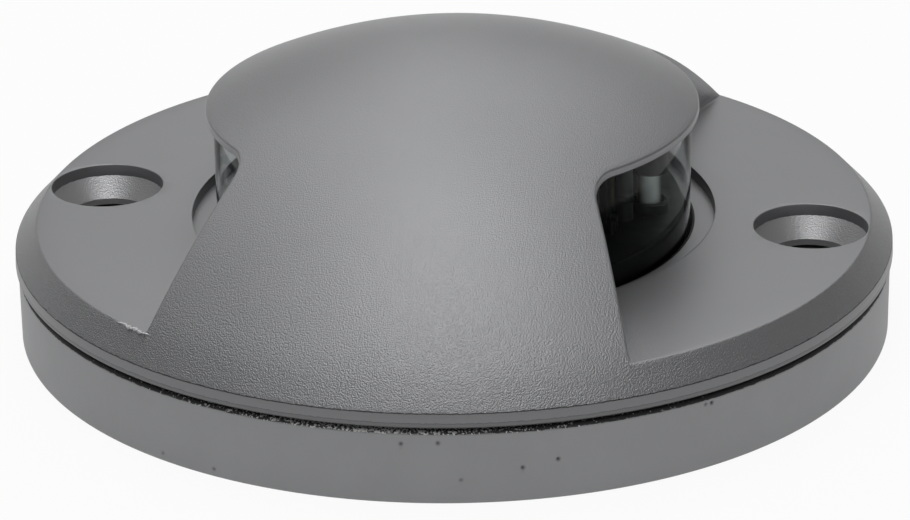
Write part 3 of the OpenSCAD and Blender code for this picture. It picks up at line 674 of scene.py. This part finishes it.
OTHER_FINISHES = {
    "sand_coat": sand_coat,
    "ring_paint": ring_paint,
    "clear_glass": clear_glass,
    "lens_acrylic": lens_acrylic,
}


def finish(name):
    """The finish of a record slot, made once."""
    if name in bpy.data.materials and bpy.data.materials[name].get("ground_light"):
        return bpy.data.materials[name]
    if name in OTHER_FINISHES:
        material = OTHER_FINISHES[name]()
    else:
        material = smooth_finish(name, *SMOOTH_FINISHES[name])
    material["ground_light"] = True
    return material


# Hood


# Rows and columns of the hood's outside
LIP_COLUMNS = 38
CORNER_COLUMNS = 20
SIDE_COLUMNS = 30
PLATE_COLUMNS = 72
TOP_ROWS = 44
EDGE_ROWS = 7
WALL_ROWS = 6
PLATE_ROWS = 10


def ramp_side(s):
    """Distance of a ramp's side line from the middle, n = w cos a."""
    return s.ramp_half_width * math.cos(s.ramp_angle)


def band_top(s):
    """Height of the band's upper end."""
    return HOOD_LOW.z + s.rim_chamfer + s.band_height


def plate_radius(s):
    """Radius where the plates and the crown end and the bevel starts."""
    return HOOD_HIGH.x - s.band_draft - s.bevel_width


def crown_z(s, r):
    """Height of the crown: it falls with the square of the radius, z = c - (c - p) (r / R)^2."""
    crown = HOOD_HIGH.z
    return crown - (crown - s.plate_height) * (r / plate_radius(s)) ** 2


def ramp_z(s, r, slope):
    """Height of a ramp out to the band: the lower of the crown c and the bevel's line b, blended over k.

    With h = 0.5 + 0.5 (b - c) / k kept between 0 and 1, the height is b (1 - h) + c h - k h (1 - h).
    """
    crown = crown_z(s, r)
    line = s.plate_height - slope * (r - plate_radius(s))
    h = np.clip(0.5 + 0.5 * (line - crown) / s.ramp_blend, 0, 1)
    return line * (1 - h) + crown * h - s.ramp_blend * h * (1 - h)


def side_contour(s, join_radius):
    """Right edge of the raised part in plan, from the front rim to the back rim, with outward normals.

    The ramp's side is a straight line that passes the middle at n = w cos a. The cap's lip is a circle of
    radius c. The corner is a circle of radius q that touches both, so its centre lies n + q across the line
    and sqrt((c + q)^2 - (n + q)^2) along it.
    """
    near, cap, q = ramp_side(s), s.cap_radius, s.corner_radius
    across = np.array([math.cos(s.ramp_angle), -math.sin(s.ramp_angle)])
    along = np.array([math.sin(s.ramp_angle), math.cos(s.ramp_angle)])
    reach = math.sqrt((cap + q) ** 2 - (near + q) ** 2)
    centre = (near + q) * across + reach * along
    lip_end = math.atan2(centre[1], centre[0])
    lip = cap * unit(np.linspace(0, lip_end, LIP_COLUMNS))
    spoke = unit(np.linspace(math.pi + lip_end, math.pi - s.ramp_angle, CORNER_COLUMNS)[1:])
    run = np.linspace(reach, math.sqrt(join_radius**2 - near**2), SIDE_COLUMNS)[1:, None]
    line = near * across + run * along
    half = np.concatenate([lip, centre + q * spoke, line])
    out = np.concatenate([lip / cap, -spoke, np.repeat(across[None], len(line), 0)])
    mirror = np.array([1, -1])
    return [np.concatenate([part[:0:-1] * mirror, part]) for part in (half, out)]


def hood_shell(s):
    """Outside of the hood as a closed shell: columns follow the edge of the raised part and the rim.

    Every column runs from the crown's top out to the edge, over its rounding, down the wall, through the
    foot's rounding, over the plate to the rim and under it. The ramps have no wall at the rim: there the
    crown's curve blends into the bevel. At radius r the ramp's side line stands at the angle
    90 - a - asin(n / r), so the columns of both kinds meet along it.
    """
    plate, rim, low_z = s.plate_height, plate_radius(s), HOOD_LOW.z
    join = rim - s.rim_radius
    near = ramp_side(s)
    side, side_out = side_contour(s, join)
    share = np.linspace(0, 1, PLATE_COLUMNS)

    def spokes(r):
        end = math.pi / 2 - s.ramp_angle - math.asin(near / r)
        fan = np.linspace(-end, end, len(side))
        arc = end + (math.pi - 2 * end) * share
        return unit(np.concatenate([fan, arc, fan + math.pi, arc + math.pi]))

    arc = spokes(join)[len(side) : len(side) + len(share)]
    loop = np.concatenate([side, join * arc, -side, -join * arc])
    out = np.concatenate([side_out, arc, -side_out, -arc])
    on_side = np.concatenate([np.ones(len(side)), np.zeros(len(arc))] * 2)[:, None]
    walled = on_side[:, 0] > 0
    band_radius = HOOD_HIGH.x - s.band_draft
    slope = (plate - band_top(s)) / (band_radius - rim)

    def raised(points):
        return ramp_z(s, np.linalg.norm(points, axis=1), slope)

    def row(points, z):
        return np.concatenate([points, np.broadcast_to(z, len(points))[:, None]], 1)

    wall = (raised(loop) - plate)[:, None] * on_side
    most = 0.45 * wall
    soft = np.minimum(s.edge_radius, most)
    foot = np.minimum(s.foot_radius, most)
    inner = loop - out * soft
    rows = [row(inner * t, raised(inner * t)) for t in np.linspace(0, 1, TOP_ROWS) ** 0.9]
    for turn in np.linspace(0, math.pi / 2, EDGE_ROWS)[1:]:
        edge = loop - out * soft * (1 - math.sin(turn))
        rows.append(row(edge, raised(edge) - soft[:, 0] * (1 - math.cos(turn))))
    top = raised(loop) - soft[:, 0]
    low = np.where(walled, plate + foot[:, 0], top)
    for t in np.linspace(0, 1, WALL_ROWS)[1:]:
        rows.append(row(loop, top * (1 - t) + low * t))
    for turn in np.linspace(0, math.pi / 2, WALL_ROWS)[1:]:
        toe = loop + out * foot * (1 - math.cos(turn))
        rows.append(row(toe, low - foot[:, 0] * math.sin(turn)))
    toe = loop + out * foot
    level = low - foot[:, 0]
    for t in np.linspace(0, 1, PLATE_ROWS)[1:]:
        rows.append(row(toe * (1 - t) + join * spokes(join) * t, level))
    # Points down the bevel, at shares of its width
    down = [rim + t * (band_radius - rim) for t in (0.2, 0.3, 0.42, 0.6, 0.8)]
    down = [(r, plate - slope * (r - rim)) for r in down]
    over = rounded([(join, plate), (rim, plate), down[0]], [s.rim_radius], 4)
    over = np.concatenate([over, down[1:-1]])
    for r, plate_z, ramp_height in zip(over[1:, 0], over[1:, 1], ramp_z(s, over[1:, 0], slope)):
        rows.append(row(r * spokes(r), np.where(walled, plate_z, ramp_height)))
    out, crease, foot_width = HOOD_HIGH.x, 0.00012, 0.004
    under = [(out, low_z + s.rim_chamfer), (out - s.rim_chamfer, low_z), (out - foot_width, low_z)]
    band = rounded([down[-1], (band_radius, band_top(s)), *under], [crease] * 3, 4)
    rows += [row(r * spokes(r), z) for r, z in band]
    # The underside closes in two steps, on columns that stand as they do near the plates' rim
    near_rim, halfway = 0.066, 0.045
    rows += [row(r * spokes(near_rim), low_z) for r in (halfway, 0.0)]
    return np.stack(rows).reshape(-1, 3), grid_faces(len(rows), len(loop))


def sectors(profile, half_angle, facings, steps=96):
    """Solid sectors: each profile point (r, z) is carried over the turns from -h(r) to h(r) about a facing.

    The two ends are flat where h(r) follows a straight line in plan.
    """
    r, z = np.asarray(profile, float).T
    count = len(profile)
    ends = [list(range(count)), [v + (steps - 1) * count for v in range(count)][::-1]]
    faces = grid_faces(steps, count).tolist() + ends
    spread = half_angle(r) * np.linspace(-1, 1, steps)[:, None]
    return joined(*[(around(r, facing + spread, z), faces) for facing in facings])


def window_cutters(s):
    """The two windows with the recess outside the glass: the space under the lip out to the recess."""
    near = ramp_side(s)
    plate = s.plate_height
    floor = plate - s.recess_depth
    # The cut runs a hair under the plates, never along their surface, and out to this radius
    step = 0.000005
    reach = 0.04216
    soft = 0.00015
    back, tilt = s.bore_radius - 0.003, 0.0004
    roof = np.linspace(reach, s.bore_radius - 0.00005, 8)
    roof = [(r, crown_z(s, r) - s.lip_thickness) for r in roof]
    profile = [
        *((back, floor), (s.recess_radius, floor), (s.recess_radius, plate - soft)),
        (s.recess_radius + 0.3 * soft, plate - 0.3 * soft),
        *((s.recess_radius + soft, plate - step), (reach, plate - step)),
        *roof,
        (back, roof[-1][1] - tilt),
    ]

    def half_angle(r):
        return math.pi / 2 - s.ramp_angle - np.arcsin(near / r)

    return sectors(profile, half_angle, (0.0, math.pi))


def chamber_cutter(s):
    """The lamp chamber: a bore with a flat ceiling and a vault that follows the crown."""
    ceiling = crown_z(s, s.bore_radius) - s.lip_thickness
    drop = HOOD_HIGH.z - s.plate_height
    vault = plate_radius(s) * math.sqrt((HOOD_HIGH.z - ceiling - s.crown_thickness) / drop)
    floor = s.plate_height - s.recess_depth
    lip, lip_low, lip_soft = s.bore_radius - s.bore_lip, floor - 0.0005, 0.00008
    dish = [(r, crown_z(s, r) - s.crown_thickness) for r in np.linspace(vault, 0, 16)]
    wall = [
        (0, BELOW_HOOD),
        (s.bore_radius, BELOW_HOOD),
        (s.bore_radius, floor - 0.0006),
        (lip, lip_low),
        (lip, floor - lip_soft),
        (lip + lip_soft, floor),
        (s.bore_radius, floor + 0.0001),
        (s.bore_radius, ceiling),
    ]
    return turned([*wall, *dish], 256)


def core_cutters(s):
    """The pockets under the two ramps."""
    near = (s.ramp_half_width - s.core_wall / math.cos(s.ramp_angle)) * math.cos(s.ramp_angle)
    high, low = plate_radius(s) - s.core_wall, s.core_radius
    roof = [(r, crown_z(s, r) - s.core_wall) for r in np.linspace(high, low, 8)]
    profile = [(low, BELOW_HOOD), (high, BELOW_HOOD), *roof]

    def half_angle(r):
        return s.ramp_angle + np.arcsin(near / r)

    return sectors(profile, half_angle, (math.pi / 2, -math.pi / 2), 32)


def countersink_cutters(s):
    """The two countersinks: a hole, a cone, a straight wall and a soft mouth."""
    plate = s.plate_height
    soft = 0.00015
    above = plate + 0.01
    turn = np.linspace(0, math.pi / 2, 5)
    mouth = [s.sink_radius + soft * (1 - np.cos(turn)), plate - soft * (1 - np.sin(turn))]
    profile = [
        (0, BELOW_HOOD),
        (s.sink_low_radius, BELOW_HOOD),
        (s.sink_low_radius, HOOD_LOW.z + s.sink_low_height),
        (s.sink_radius, plate - s.sink_wall),
        *np.stack(mouth, 1),
        (s.sink_radius + soft, above),
        (0, above),
    ]
    return on_both_sides(turned(profile, 96), s.sink_place)


def burr_shape(s):
    """A burr on the left plate's front edge: a thin ridge that follows the rim, with an uneven girth.

    Over the share t of its length its radius is q sin(pi t) (0.65 + 0.35 sin(31 t) sin(73 t + 1)).
    """
    start, spread = math.radians(-129.0), math.radians(7.0)
    outwards, sway = 0.0001, 0.00015
    t = np.linspace(0, 1, 61)[:, None]
    turn = start + spread * t
    place = plate_radius(s) + outwards + sway * np.sin(19 * t)
    girth = s.burr_radius * np.sin(math.pi * t) * (0.65 + 0.35 * np.sin(31 * t) * np.sin(73 * t + 1))
    round_turn = np.linspace(0, ROUND, 12, endpoint=False)
    r = place + 1.6 * girth * np.cos(round_turn)
    z = s.plate_height - outwards + girth * np.sin(round_turn)
    return around(r, turn, z), grid_faces(len(t), len(round_turn))


class GROUNDLIGHT_OT_hood(Operator):
    """Cast hood: crowned cap and ramps, plates, windows, countersinks and rim"""

    bl_idname = "groundlight.hood"
    bl_label = "Hood"
    bl_options = {"REGISTER", "UNDO"}

    def execute(self, context):
        s = settings("hood")
        inside = joined(chamber_cutter(s), core_cutters(s))
        cutters = (window_cutters(s), inside, countersink_cutters(s))
        add_piece("hood_casting", hood_shell(s), HEAD, "sand_coat", ["hood"], cutters, sharp=30)
        add_piece("edge_burr", burr_shape(s), HEAD, "sand_coat", look="bare_casting")
        return {"FINISHED"}


# Base ring


# Angle in degrees from +X, height and share of the depth of the casting pits on the ring's wall
PIT_PLACES = (
    (-46.8, 0.01045, 1.0),
    (-47.7, 0.01050, 0.6),
    (-67.2, 0.00627, 1.0),
    (-71.5, 0.00540, 0.9),
    (-78.9, 0.00384, 0.5),
    (-81.6, 0.00979, 0.8),
    (-86.0, 0.00956, 0.8),
    (-110.3, 0.00126, 0.6),
    (-118.2, 0.00130, 0.5),
)


def ring_shell(s):
    """The ring: a profile turned round, with pits pressed into the wall and pockets underneath.

    A pit lowers the wall by d exp(-(u^2 + v^2) / q^2), with u and v the distances along and up the wall. A
    pocket lifts the underside within 13.5 degrees of every multiple of 30 degrees but not at the two holes.
    """
    radius, top = RING_HIGH.x, RING_HIGH.z
    edge = 0.0002
    spread = np.linspace(-2.2, 2.2, 13) * s.pit_radius
    turn = [np.linspace(-math.pi, math.pi, 720, endpoint=False)]
    turn += [math.radians(degrees) + spread / radius for degrees, _, _ in PIT_PLACES]
    turn = np.unique(np.round(np.concatenate(turn), 5))
    columns = len(turn)
    wall = [np.linspace(edge, top - s.chamfer - edge, 14)]
    wall += [height + spread[2:-2] for _, height, _ in PIT_PLACES]
    wall = np.unique(np.round(np.concatenate(wall), 5))
    wall = wall[(wall >= edge) & (wall <= top - s.chamfer - edge)]
    profile = [
        (radius - edge, 0),
        (radius - 0.3 * edge, 0.3 * edge),
        *[(radius, z) for z in wall],
        (radius - 0.1 * edge, top - s.chamfer - 0.3 * edge),
        (radius - 0.45 * edge, top - s.chamfer + 0.4 * edge),
        (radius - s.chamfer, top - 0.3 * edge),
        (radius - s.chamfer - 0.5 * edge, top),
        (s.bore_radius + 0.004, top),
        (s.bore_radius + edge, top),
        (s.bore_radius, top - edge),
        (s.bore_radius, edge),
        (s.bore_radius + edge, 0),
    ]
    r, z = (np.repeat(part[:, None], columns, 1) for part in np.array(profile).T)
    for degrees, height, depth in PIT_PLACES:
        along = radius * (turn - math.radians(degrees))
        away = (along**2 + (z - height) ** 2) / s.pit_radius**2
        r -= depth * s.pit_depth * np.exp(-away) * (r > radius - 2 * s.chamfer)
    pitch = ROUND / 12
    from_middle = np.abs((turn + pitch / 2) % pitch - pitch / 2)
    pocket = (from_middle < pitch / 2 - math.radians(1.5)) & (np.abs(np.sin(turn)) > math.sin(pitch / 2))
    low, high = s.bore_radius + s.wall, radius - s.wall
    # Radii across the underside, with 1 where a pocket is deep
    under = [(low - 0.0001, 0), (low, 1), (0.5 * (low + high), 1), (high, 1), (high + 0.0001, 0)]
    r = np.concatenate([r, [np.full(columns, place) for place, _ in under], r[:1]])
    z = np.concatenate([z, [s.pocket_depth * pocket * share for _, share in under], z[:1]])
    return around(r, turn, z), grid_faces(len(r), columns)


class GROUNDLIGHT_OT_base_ring(Operator):
    """Cast base ring with its pockets, its fixing holes and a few casting pits"""

    bl_idname = "groundlight.base_ring"
    bl_label = "Base Ring"
    bl_options = {"REGISTER", "UNDO"}

    def execute(self, context):
        s = settings("ring")
        low, high = -OVERCUT, RING_HIGH.z + OVERCUT
        drill = turned([(0, low), (s.hole_radius, low), (s.hole_radius, high), (0, high)], 64)
        holes = on_both_sides(drill, settings("hood").sink_place)
        piece = add_piece("ring_casting", ring_shell(s), BASE, "ring_paint", ["base_ring"], [holes])
        self.mark_pits(piece.data, s)
        return {"FINISHED"}

    def mark_pits(self, mesh, s):
        """Attribute pit: the depth of the outer wall below the ring's radius, as a share of a pit's depth;
        the coat darkens with it as painted shade.
        """
        x, y, z = places_of(mesh)
        depth = (RING_HIGH.x - np.hypot(x, y)) / s.pit_depth
        edge = 0.0003
        wall = (z > edge) & (z < RING_HIGH.z - s.chamfer - edge) & (depth < 1.1)
        write_mark(mesh, "pit", depth * wall)


# Glass and lamp


class GROUNDLIGHT_OT_glass(Operator):
    """Clear glass cylinder with soft rims"""

    bl_idname = "groundlight.glass"
    bl_label = "Glass"
    bl_options = {"REGISTER", "UNDO"}

    def execute(self, context):
        s = settings("lamp")
        out, low, high = GLASS_HIGH.x, GLASS_LOW.z, GLASS_HIGH.z
        bore = out - s.glass_wall
        corners = [(out - s.glass_wall / 2, low), (out, low), (out, high), (bore, high), (bore, low)]
        shape = turned_solid(corners, [s.glass_edge] * 4, 256, 5)
        add_piece("glass_tube", shape, HEAD, "clear_glass", ["glass_cylinder"])
        return {"FINISHED"}


class GROUNDLIGHT_OT_gasket(Operator):
    """Rubber gasket under the glass, with its collar round the foot of the glass"""

    bl_idname = "groundlight.gasket"
    bl_label = "Glass Gasket"
    bl_options = {"REGISTER", "UNDO"}

    def execute(self, context):
        hood, s = settings("hood"), settings("lamp")
        wide, low, high = GASKET_HIGH.x, GASKET_LOW.z, GLASS_LOW.z
        edge, room_for_lip, profile_start = 0.0001, 0.0007, wide - 0.005
        # The collar ends under the thin lip that closes the bore at the recess
        collar = hood.plate_height - hood.recess_depth - room_for_lip
        inner = GLASS_HIGH.x + s.collar_gap
        outer = hood.bore_radius - s.collar_gap
        corners = [(profile_start, low), (wide, low), (wide, high), (outer, high), (outer, collar)]
        corners += [(inner, collar), (inner, high), (s.gasket_bore, high), (s.gasket_bore, low)]
        shape = turned_solid(corners, [edge] * 8, 256)
        add_piece("rubber_gasket", shape, HEAD, "black_rubber", ["glass_gasket"])
        return {"FINISHED"}


class GROUNDLIGHT_OT_carrier(Operator):
    """Black lamp carrier: a flanged hat whose soft edge shows inside the glass, with a seat for each rod"""

    bl_idname = "groundlight.carrier"
    bl_label = "Lamp Carrier"
    bl_options = {"REGISTER", "UNDO"}

    def execute(self, context):
        s = settings("lamp")
        rod = s.rod_diameter / 2
        high = CARRIER_HIGH.z + s.carrier_lift
        hat, seat = self.hat_shape(s, high), self.seat_shape(s, rod, high)
        shape = joined(hat, on_both_sides(joined(seat, self.sleeve_shape(s, rod)), ROD_HIGH.x - rod))
        add_piece("carrier_hat", shape, HEAD, "black_anodised", ["lamp_carrier"])
        return {"FINISHED"}

    def hat_shape(self, s, high):
        """The hat, wider above the foot of the glass."""
        hat, brim, low = s.carrier_radius, CARRIER_HIGH.x, CARRIER_LOW.z
        wall, brim_thickness, top_thickness, over_glass_foot = 0.0025, 0.002, 0.0024, 0.0005
        bore, wide, step = hat - wall, s.carrier_top, GLASS_LOW.z + over_glass_foot
        brim_top, ceiling = low + brim_thickness, high - top_thickness
        corners = [(0, high), (wide, high), (wide, step), (hat, step), (hat, brim_top)]
        corners += [(brim, brim_top), (brim, low), (bore, low), (bore, ceiling), (0, ceiling)]
        outer, inner = 0.0002, 0.0005
        radii = [s.carrier_edge, outer, outer, inner, outer, outer, outer, inner]
        return turned(rounded(corners, radii), 256)

    def seat_shape(self, s, rod, high):
        """A seat round the foot of a rod, sunk a little into the hat's top."""
        sunk, under_rod = 0.0003, 0.0002
        low, top = high - sunk, high + s.seat_height
        inner, outer = rod + ROD_GAP, rod + s.seat_wall
        corners = [(rod - under_rod, low), (outer, low), (outer, top), (inner, top)]
        return turned_solid(corners, [0.0001, 0.0003, 0.0002], 64)

    def sleeve_shape(self, s, rod):
        """The black sleeve that hides the upper part of a rod."""
        edge, under_rod_top = 0.0002, 0.0005
        low, top = s.sleeve_start, ROD_HIGH.z - under_rod_top
        inner, outer = rod + ROD_GAP, rod + s.seat_wall
        corners = [(inner, low), (outer, low), (outer, top), (inner, top)]
        return turned_solid(corners, [edge] * 3, 64)


class GROUNDLIGHT_OT_lenses(Operator):
    """Rod lenses and the black posts beside them"""

    bl_idname = "groundlight.lenses"
    bl_label = "Rod Lenses and Posts"
    bl_options = {"REGISTER", "UNDO"}

    def execute(self, context):
        s = settings("lamp")
        radius, waist = s.rod_diameter / 2, s.rod_waist / 2
        seat_top = CARRIER_HIGH.z + s.carrier_lift + s.seat_height
        # The waist starts and ends this deep inside the seat and the sleeve
        waist_end, full_width = 0.001, 0.0014
        corners = [
            (0, ROD_LOW.z),
            (radius, ROD_LOW.z),
            (radius, seat_top - full_width),
            (waist, seat_top - waist_end),
            (waist, s.sleeve_start + waist_end),
            (radius, s.sleeve_start + full_width),
            (radius, ROD_HIGH.z),
            (0, ROD_HIGH.z),
        ]
        end, flank, shoulder = 0.0003, 0.0001, 0.0002
        rod = turned(rounded(corners, [end, flank, shoulder, shoulder, flank, end]), 64)
        place = ROD_HIGH.x - radius
        shape = on_both_sides(rod, place)
        piece = add_piece("lens_rods", shape, HEAD, "lens_acrylic", ["rod_lenses"])
        self.mark_painted_highlight(piece.data, place, s.highlight_turn)
        radius = s.post_diameter / 2
        low, high = POST_LOW.z, POST_HIGH.z
        corners = [(0, low), (radius, low), (radius, high), (0, high)]
        post = turned(rounded(corners, [shoulder] * 2), 64)
        x, y = POST_HIGH.x - radius, POST_HIGH.y - radius
        shape = joined(*[moved(post, place) for place in ((-x, -y, 0), (-x, y, 0), (x, -y, 0), (x, y, 0))])
        add_piece("black_posts", shape, HEAD, "gloss_black", ["lens_posts"])
        return {"FINISHED"}

    def mark_painted_highlight(self, mesh, place, turn):
        """Attribute stripe, a painted highlight: 1 where a rod's wall faces the direction turn from the
        front, 0 at its sides.

        With c = |x sin t - y cos t| / r from the rod's own axis, it is (c - 0.55) / 0.4 between 0 and 1.
        """
        x, y, _ = places_of(mesh)
        x = x - place * np.sign(x)
        along = np.abs(x * math.sin(turn) - y * math.cos(turn)) / np.maximum(np.hypot(x, y), 1e-6)
        write_mark(mesh, "stripe", (along - 0.55) / 0.4)


class GROUNDLIGHT_OT_lamps(Operator):
    """Lamps: a square foot with soft corners under a clear dome"""

    bl_idname = "groundlight.lamps"
    bl_label = "Lamps"
    bl_options = {"REGISTER", "UNDO"}

    def execute(self, context):
        s = settings("lamp")
        half, foot_top, start, steps = s.lamp_width / 2, s.lamp_foot, BOARD_HIGH.x, 48
        dome = LAMP_HIGH.x - start - foot_top
        cap = (0, foot_top) + dome * unit(np.linspace(0, math.pi / 2, 12))
        sunk, chamfer, top_share = 0.0002, 0.0001, 0.96
        dome_foot = foot_top - sunk
        cap = turned([(0, dome_foot), (dome, dome_foot), *cap], steps)
        # The foot's outline is the square-ish curve |y|^6 + |z|^6 = h^6
        outline = unit(np.linspace(0, ROUND, steps, endpoint=False))
        outline = half * outline * ((np.abs(outline) ** 6).sum(1) ** (-1 / 6))[:, None]
        levels = [(0, 0), (1, 0), (1, foot_top - chamfer), (top_share, foot_top), (0, foot_top)]
        foot = [np.concatenate([outline * k, np.full((steps, 1), h)], 1) for k, h in levels]
        points, faces = joined(cap, (np.stack(foot), grid_faces(len(levels), steps)))
        x, y, z = points.T
        low = LAMP_LOW.z + half
        pitch = (LAMP_HIGH.z - LAMP_LOW.z - s.lamp_width) / max(1, s.lamp_count - 1)
        places = [(side, low + i * pitch) for side in (-1, 1) for i in range(s.lamp_count)]
        laid = [(np.stack([side * (start + z), side * y, x + up], 1), faces) for side, up in places]
        add_piece("lamp_domes", joined(*laid), HEAD, "lamp_resin", ["lamps"])
        return {"FINISHED"}


class GROUNDLIGHT_OT_other_finishes(Operator):
    """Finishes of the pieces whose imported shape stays"""

    bl_idname = "groundlight.other_finishes"
    bl_label = "Other Finishes"
    bl_options = {"REGISTER", "UNDO"}

    def execute(self, context):
        slots = {sub["node"]: sub["material_slot"] for sub in frame["record"]["subparts"]}
        for name, node in NODES.items():
            if not node.hide_render:
                node.data.materials.clear()
                node.data.materials.append(finish(slots[name]))
        return {"FINISHED"}


# Stage


# Name, azimuth and elevation in degrees, side in metres and power in watts
SOFT_LIGHTS = (
    ("light_over", 0, 90, 0.6, 1.4),
    ("light_over_left", -90, 72, 0.6, 0.21),
    ("light_front", 5, 70, 0.5, 1.96),
    ("light_behind_high", 180, 67, 0.6, 0.81),
    ("light_behind_low", 180, 40, 0.6, 1.07),
    ("light_behind_left", -150, 30, 0.6, 0.31),
    ("light_left", -125, 50, 0.6, 1.09),
    ("light_right", 125, 50, 0.6, 0.13),
)
LIGHT_AIM = (0, 0, 0.02)


def spot(azimuth, elevation):
    """Direction of an azimuth a and elevation e: (sin a cos e, -cos a cos e, sin e)."""
    flat = math.cos(elevation)
    return Vector((math.sin(azimuth) * flat, -math.cos(azimuth) * flat, math.sin(elevation)))


def in_scene(name, data, matrix=None):
    """A new object of that data in the scene."""
    thing = bpy.data.objects.new(name, data)
    bpy.context.scene.collection.objects.link(thing)
    if matrix:
        thing.matrix_world = matrix
    return thing


def add_area_light(name, place, size, power):
    """A square soft light that shines from its place at the object."""
    light = bpy.data.lights.new(name, "AREA")
    light.shape = "SQUARE"
    light.size = size
    light.energy = power
    turn = (Vector(LIGHT_AIM) - Vector(place)).to_track_quat("-Z", "Y").to_matrix().to_4x4()
    in_scene(name, light, Matrix.Translation(place) @ turn)


class GROUNDLIGHT_OT_stage(Operator):
    """White floor, soft lights and the camera at the photograph's angle"""

    bl_idname = "groundlight.stage"
    bl_label = "Stage"
    bl_options = {"REGISTER", "UNDO"}

    def execute(self, context):
        s = settings("stage")
        scene = context.scene
        scene.view_settings.view_transform = "Standard"
        self.add_camera(scene, s)
        self.add_world(scene, s)
        self.add_floor(s)
        for name, azimuth, elevation, size, power in SOFT_LIGHTS:
            place = s.light_distance * spot(math.radians(azimuth), math.radians(elevation))
            add_area_light(name, place, size, power * s.light_power)
        return {"FINISHED"}

    def add_camera(self, scene, s):
        """The camera: it looks along its back axis at the aim and is rolled about that axis."""
        back = spot(s.azimuth, s.elevation)
        flat = Vector((math.cos(s.azimuth), math.sin(s.azimuth), 0))
        up = back.cross(flat)
        aim = s.aim_right * flat + s.aim_up * up
        rolled_right = math.cos(s.roll) * flat + math.sin(s.roll) * up
        rolled_up = math.cos(s.roll) * up - math.sin(s.roll) * flat
        turn = Matrix((rolled_right, rolled_up, back)).transposed().to_4x4()
        camera = bpy.data.cameras.new("camera")
        camera.sensor_width = 36
        camera.lens = s.lens
        scene.camera = in_scene("camera", camera, Matrix.Translation(aim + s.distance * back) @ turn)

    def add_world(self, scene, s):
        """Even grey light from all round."""
        world = bpy.data.worlds.new("studio")
        world.use_nodes = True
        tree = world.node_tree
        tree.nodes.clear()
        even = node_in(tree, "ShaderNodeBackground", Strength=s.world_light, Color=(1, 1, 1, 1))
        node_in(tree, "ShaderNodeOutputWorld", Surface=Field(even.outputs["Background"]))
        scene.world = world

    def add_floor(self, s):
        """A wide white floor that turns up into a low backdrop, a hair below the ring."""
        near = s.floor_radius * np.array([0.05, 0.1, 0.2, 0.5, 0.9])
        turn = np.linspace(0, math.pi / 2, 8)
        bend = 0.1 * s.floor_radius
        corner = [(near[-1] + bend * math.sin(t), bend * (1 - math.cos(t))) for t in turn]
        profile = [(0, 0), *[(r, 0) for r in near[:-1]], *corner, (s.floor_radius, s.backdrop_height)]
        points, faces = moved(turned(profile, 64), (0, 0, -0.0001))
        mesh = bpy.data.meshes.new("floor")
        mesh.from_pydata(points.tolist(), [], [list(f[::-1]) for f in faces])
        mesh.shade_smooth()
        mesh.materials.append(self.white_floor(s))
        in_scene("floor", mesh)

    def white_floor(self, s):
        """Mostly plain white to the camera, mirrors and glass, with a share that takes the shadow."""
        material, tree, shader = new_material("white_floor")
        _, mottle = grain_in(tree, size=0.01, mottle_size=0.3)
        base = mixed((0.80, 0.80, 0.80, 1), (0.82, 0.82, 0.82, 1), mottle)
        put(shader, Base_Color=base, Roughness=0.9)
        glow = node_in(tree, "ShaderNodeEmission", Strength=1.0, Color=(1, 1, 1, 1))
        path = tree.nodes.new("ShaderNodeLightPath").outputs
        kinds = ("Is Camera Ray", "Is Glossy Ray", "Is Transmission Ray")
        camera, glossy, through = [Field(path[kind]) for kind in kinds]
        mix = node_in(tree, "ShaderNodeMixShader", Fac=(camera | glossy | through) * s.floor_white)
        for socket, part in zip(mix.inputs[1:], (shader.outputs["BSDF"], glow.outputs["Emission"])):
            tree.links.new(part, socket)
        put(tree.get_output_node("ALL"), Surface=Field(mix.outputs["Shader"]))
        return material


class GROUNDLIGHT_PT_panel(Panel):
    """Buttons and sizes of the ground light in the 3D view's sidebar"""

    bl_idname = "GROUNDLIGHT_PT_panel"
    bl_label = "Ground Light"
    bl_space_type = "VIEW_3D"
    bl_region_type = "UI"
    bl_category = "Ground Light"

    def draw(self, context):
        column = self.layout.column()
        for operator in OPERATORS:
            column.operator(operator.bl_idname)
        for name, group in GROUPS.items():
            box = self.layout.box()
            box.label(text=name.title())
            for field in group.__annotations__:
                box.prop(settings(name), field)


GROUPS = {"hood": HoodSettings, "ring": RingSettings, "lamp": LampSettings, "stage": StageSettings}
OPERATORS = (
    GROUNDLIGHT_OT_hood,
    GROUNDLIGHT_OT_base_ring,
    GROUNDLIGHT_OT_glass,
    GROUNDLIGHT_OT_gasket,
    GROUNDLIGHT_OT_carrier,
    GROUNDLIGHT_OT_lenses,
    GROUNDLIGHT_OT_lamps,
    GROUNDLIGHT_OT_other_finishes,
    GROUNDLIGHT_OT_stage,
)
CLASSES = (*GROUPS.values(), *OPERATORS, GROUNDLIGHT_PT_panel)


def register():
    for kind in CLASSES:
        bpy.utils.register_class(kind)
    for name, group in GROUPS.items():
        setattr(bpy.types.Scene, "ground_light_" + name, PointerProperty(type=group))


def unregister():
    for name in GROUPS:
        delattr(bpy.types.Scene, "ground_light_" + name)
    for kind in reversed(CLASSES):
        bpy.utils.unregister_class(kind)


def main():
    register()
    bpy.ops.groundlight.hood()
    bpy.ops.groundlight.base_ring()
    bpy.ops.groundlight.glass()
    bpy.ops.groundlight.gasket()
    bpy.ops.groundlight.carrier()
    bpy.ops.groundlight.lenses()
    bpy.ops.groundlight.lamps()
    bpy.ops.groundlight.other_finishes()
    bpy.ops.groundlight.stage()


if __name__ == "__main__":
    main()
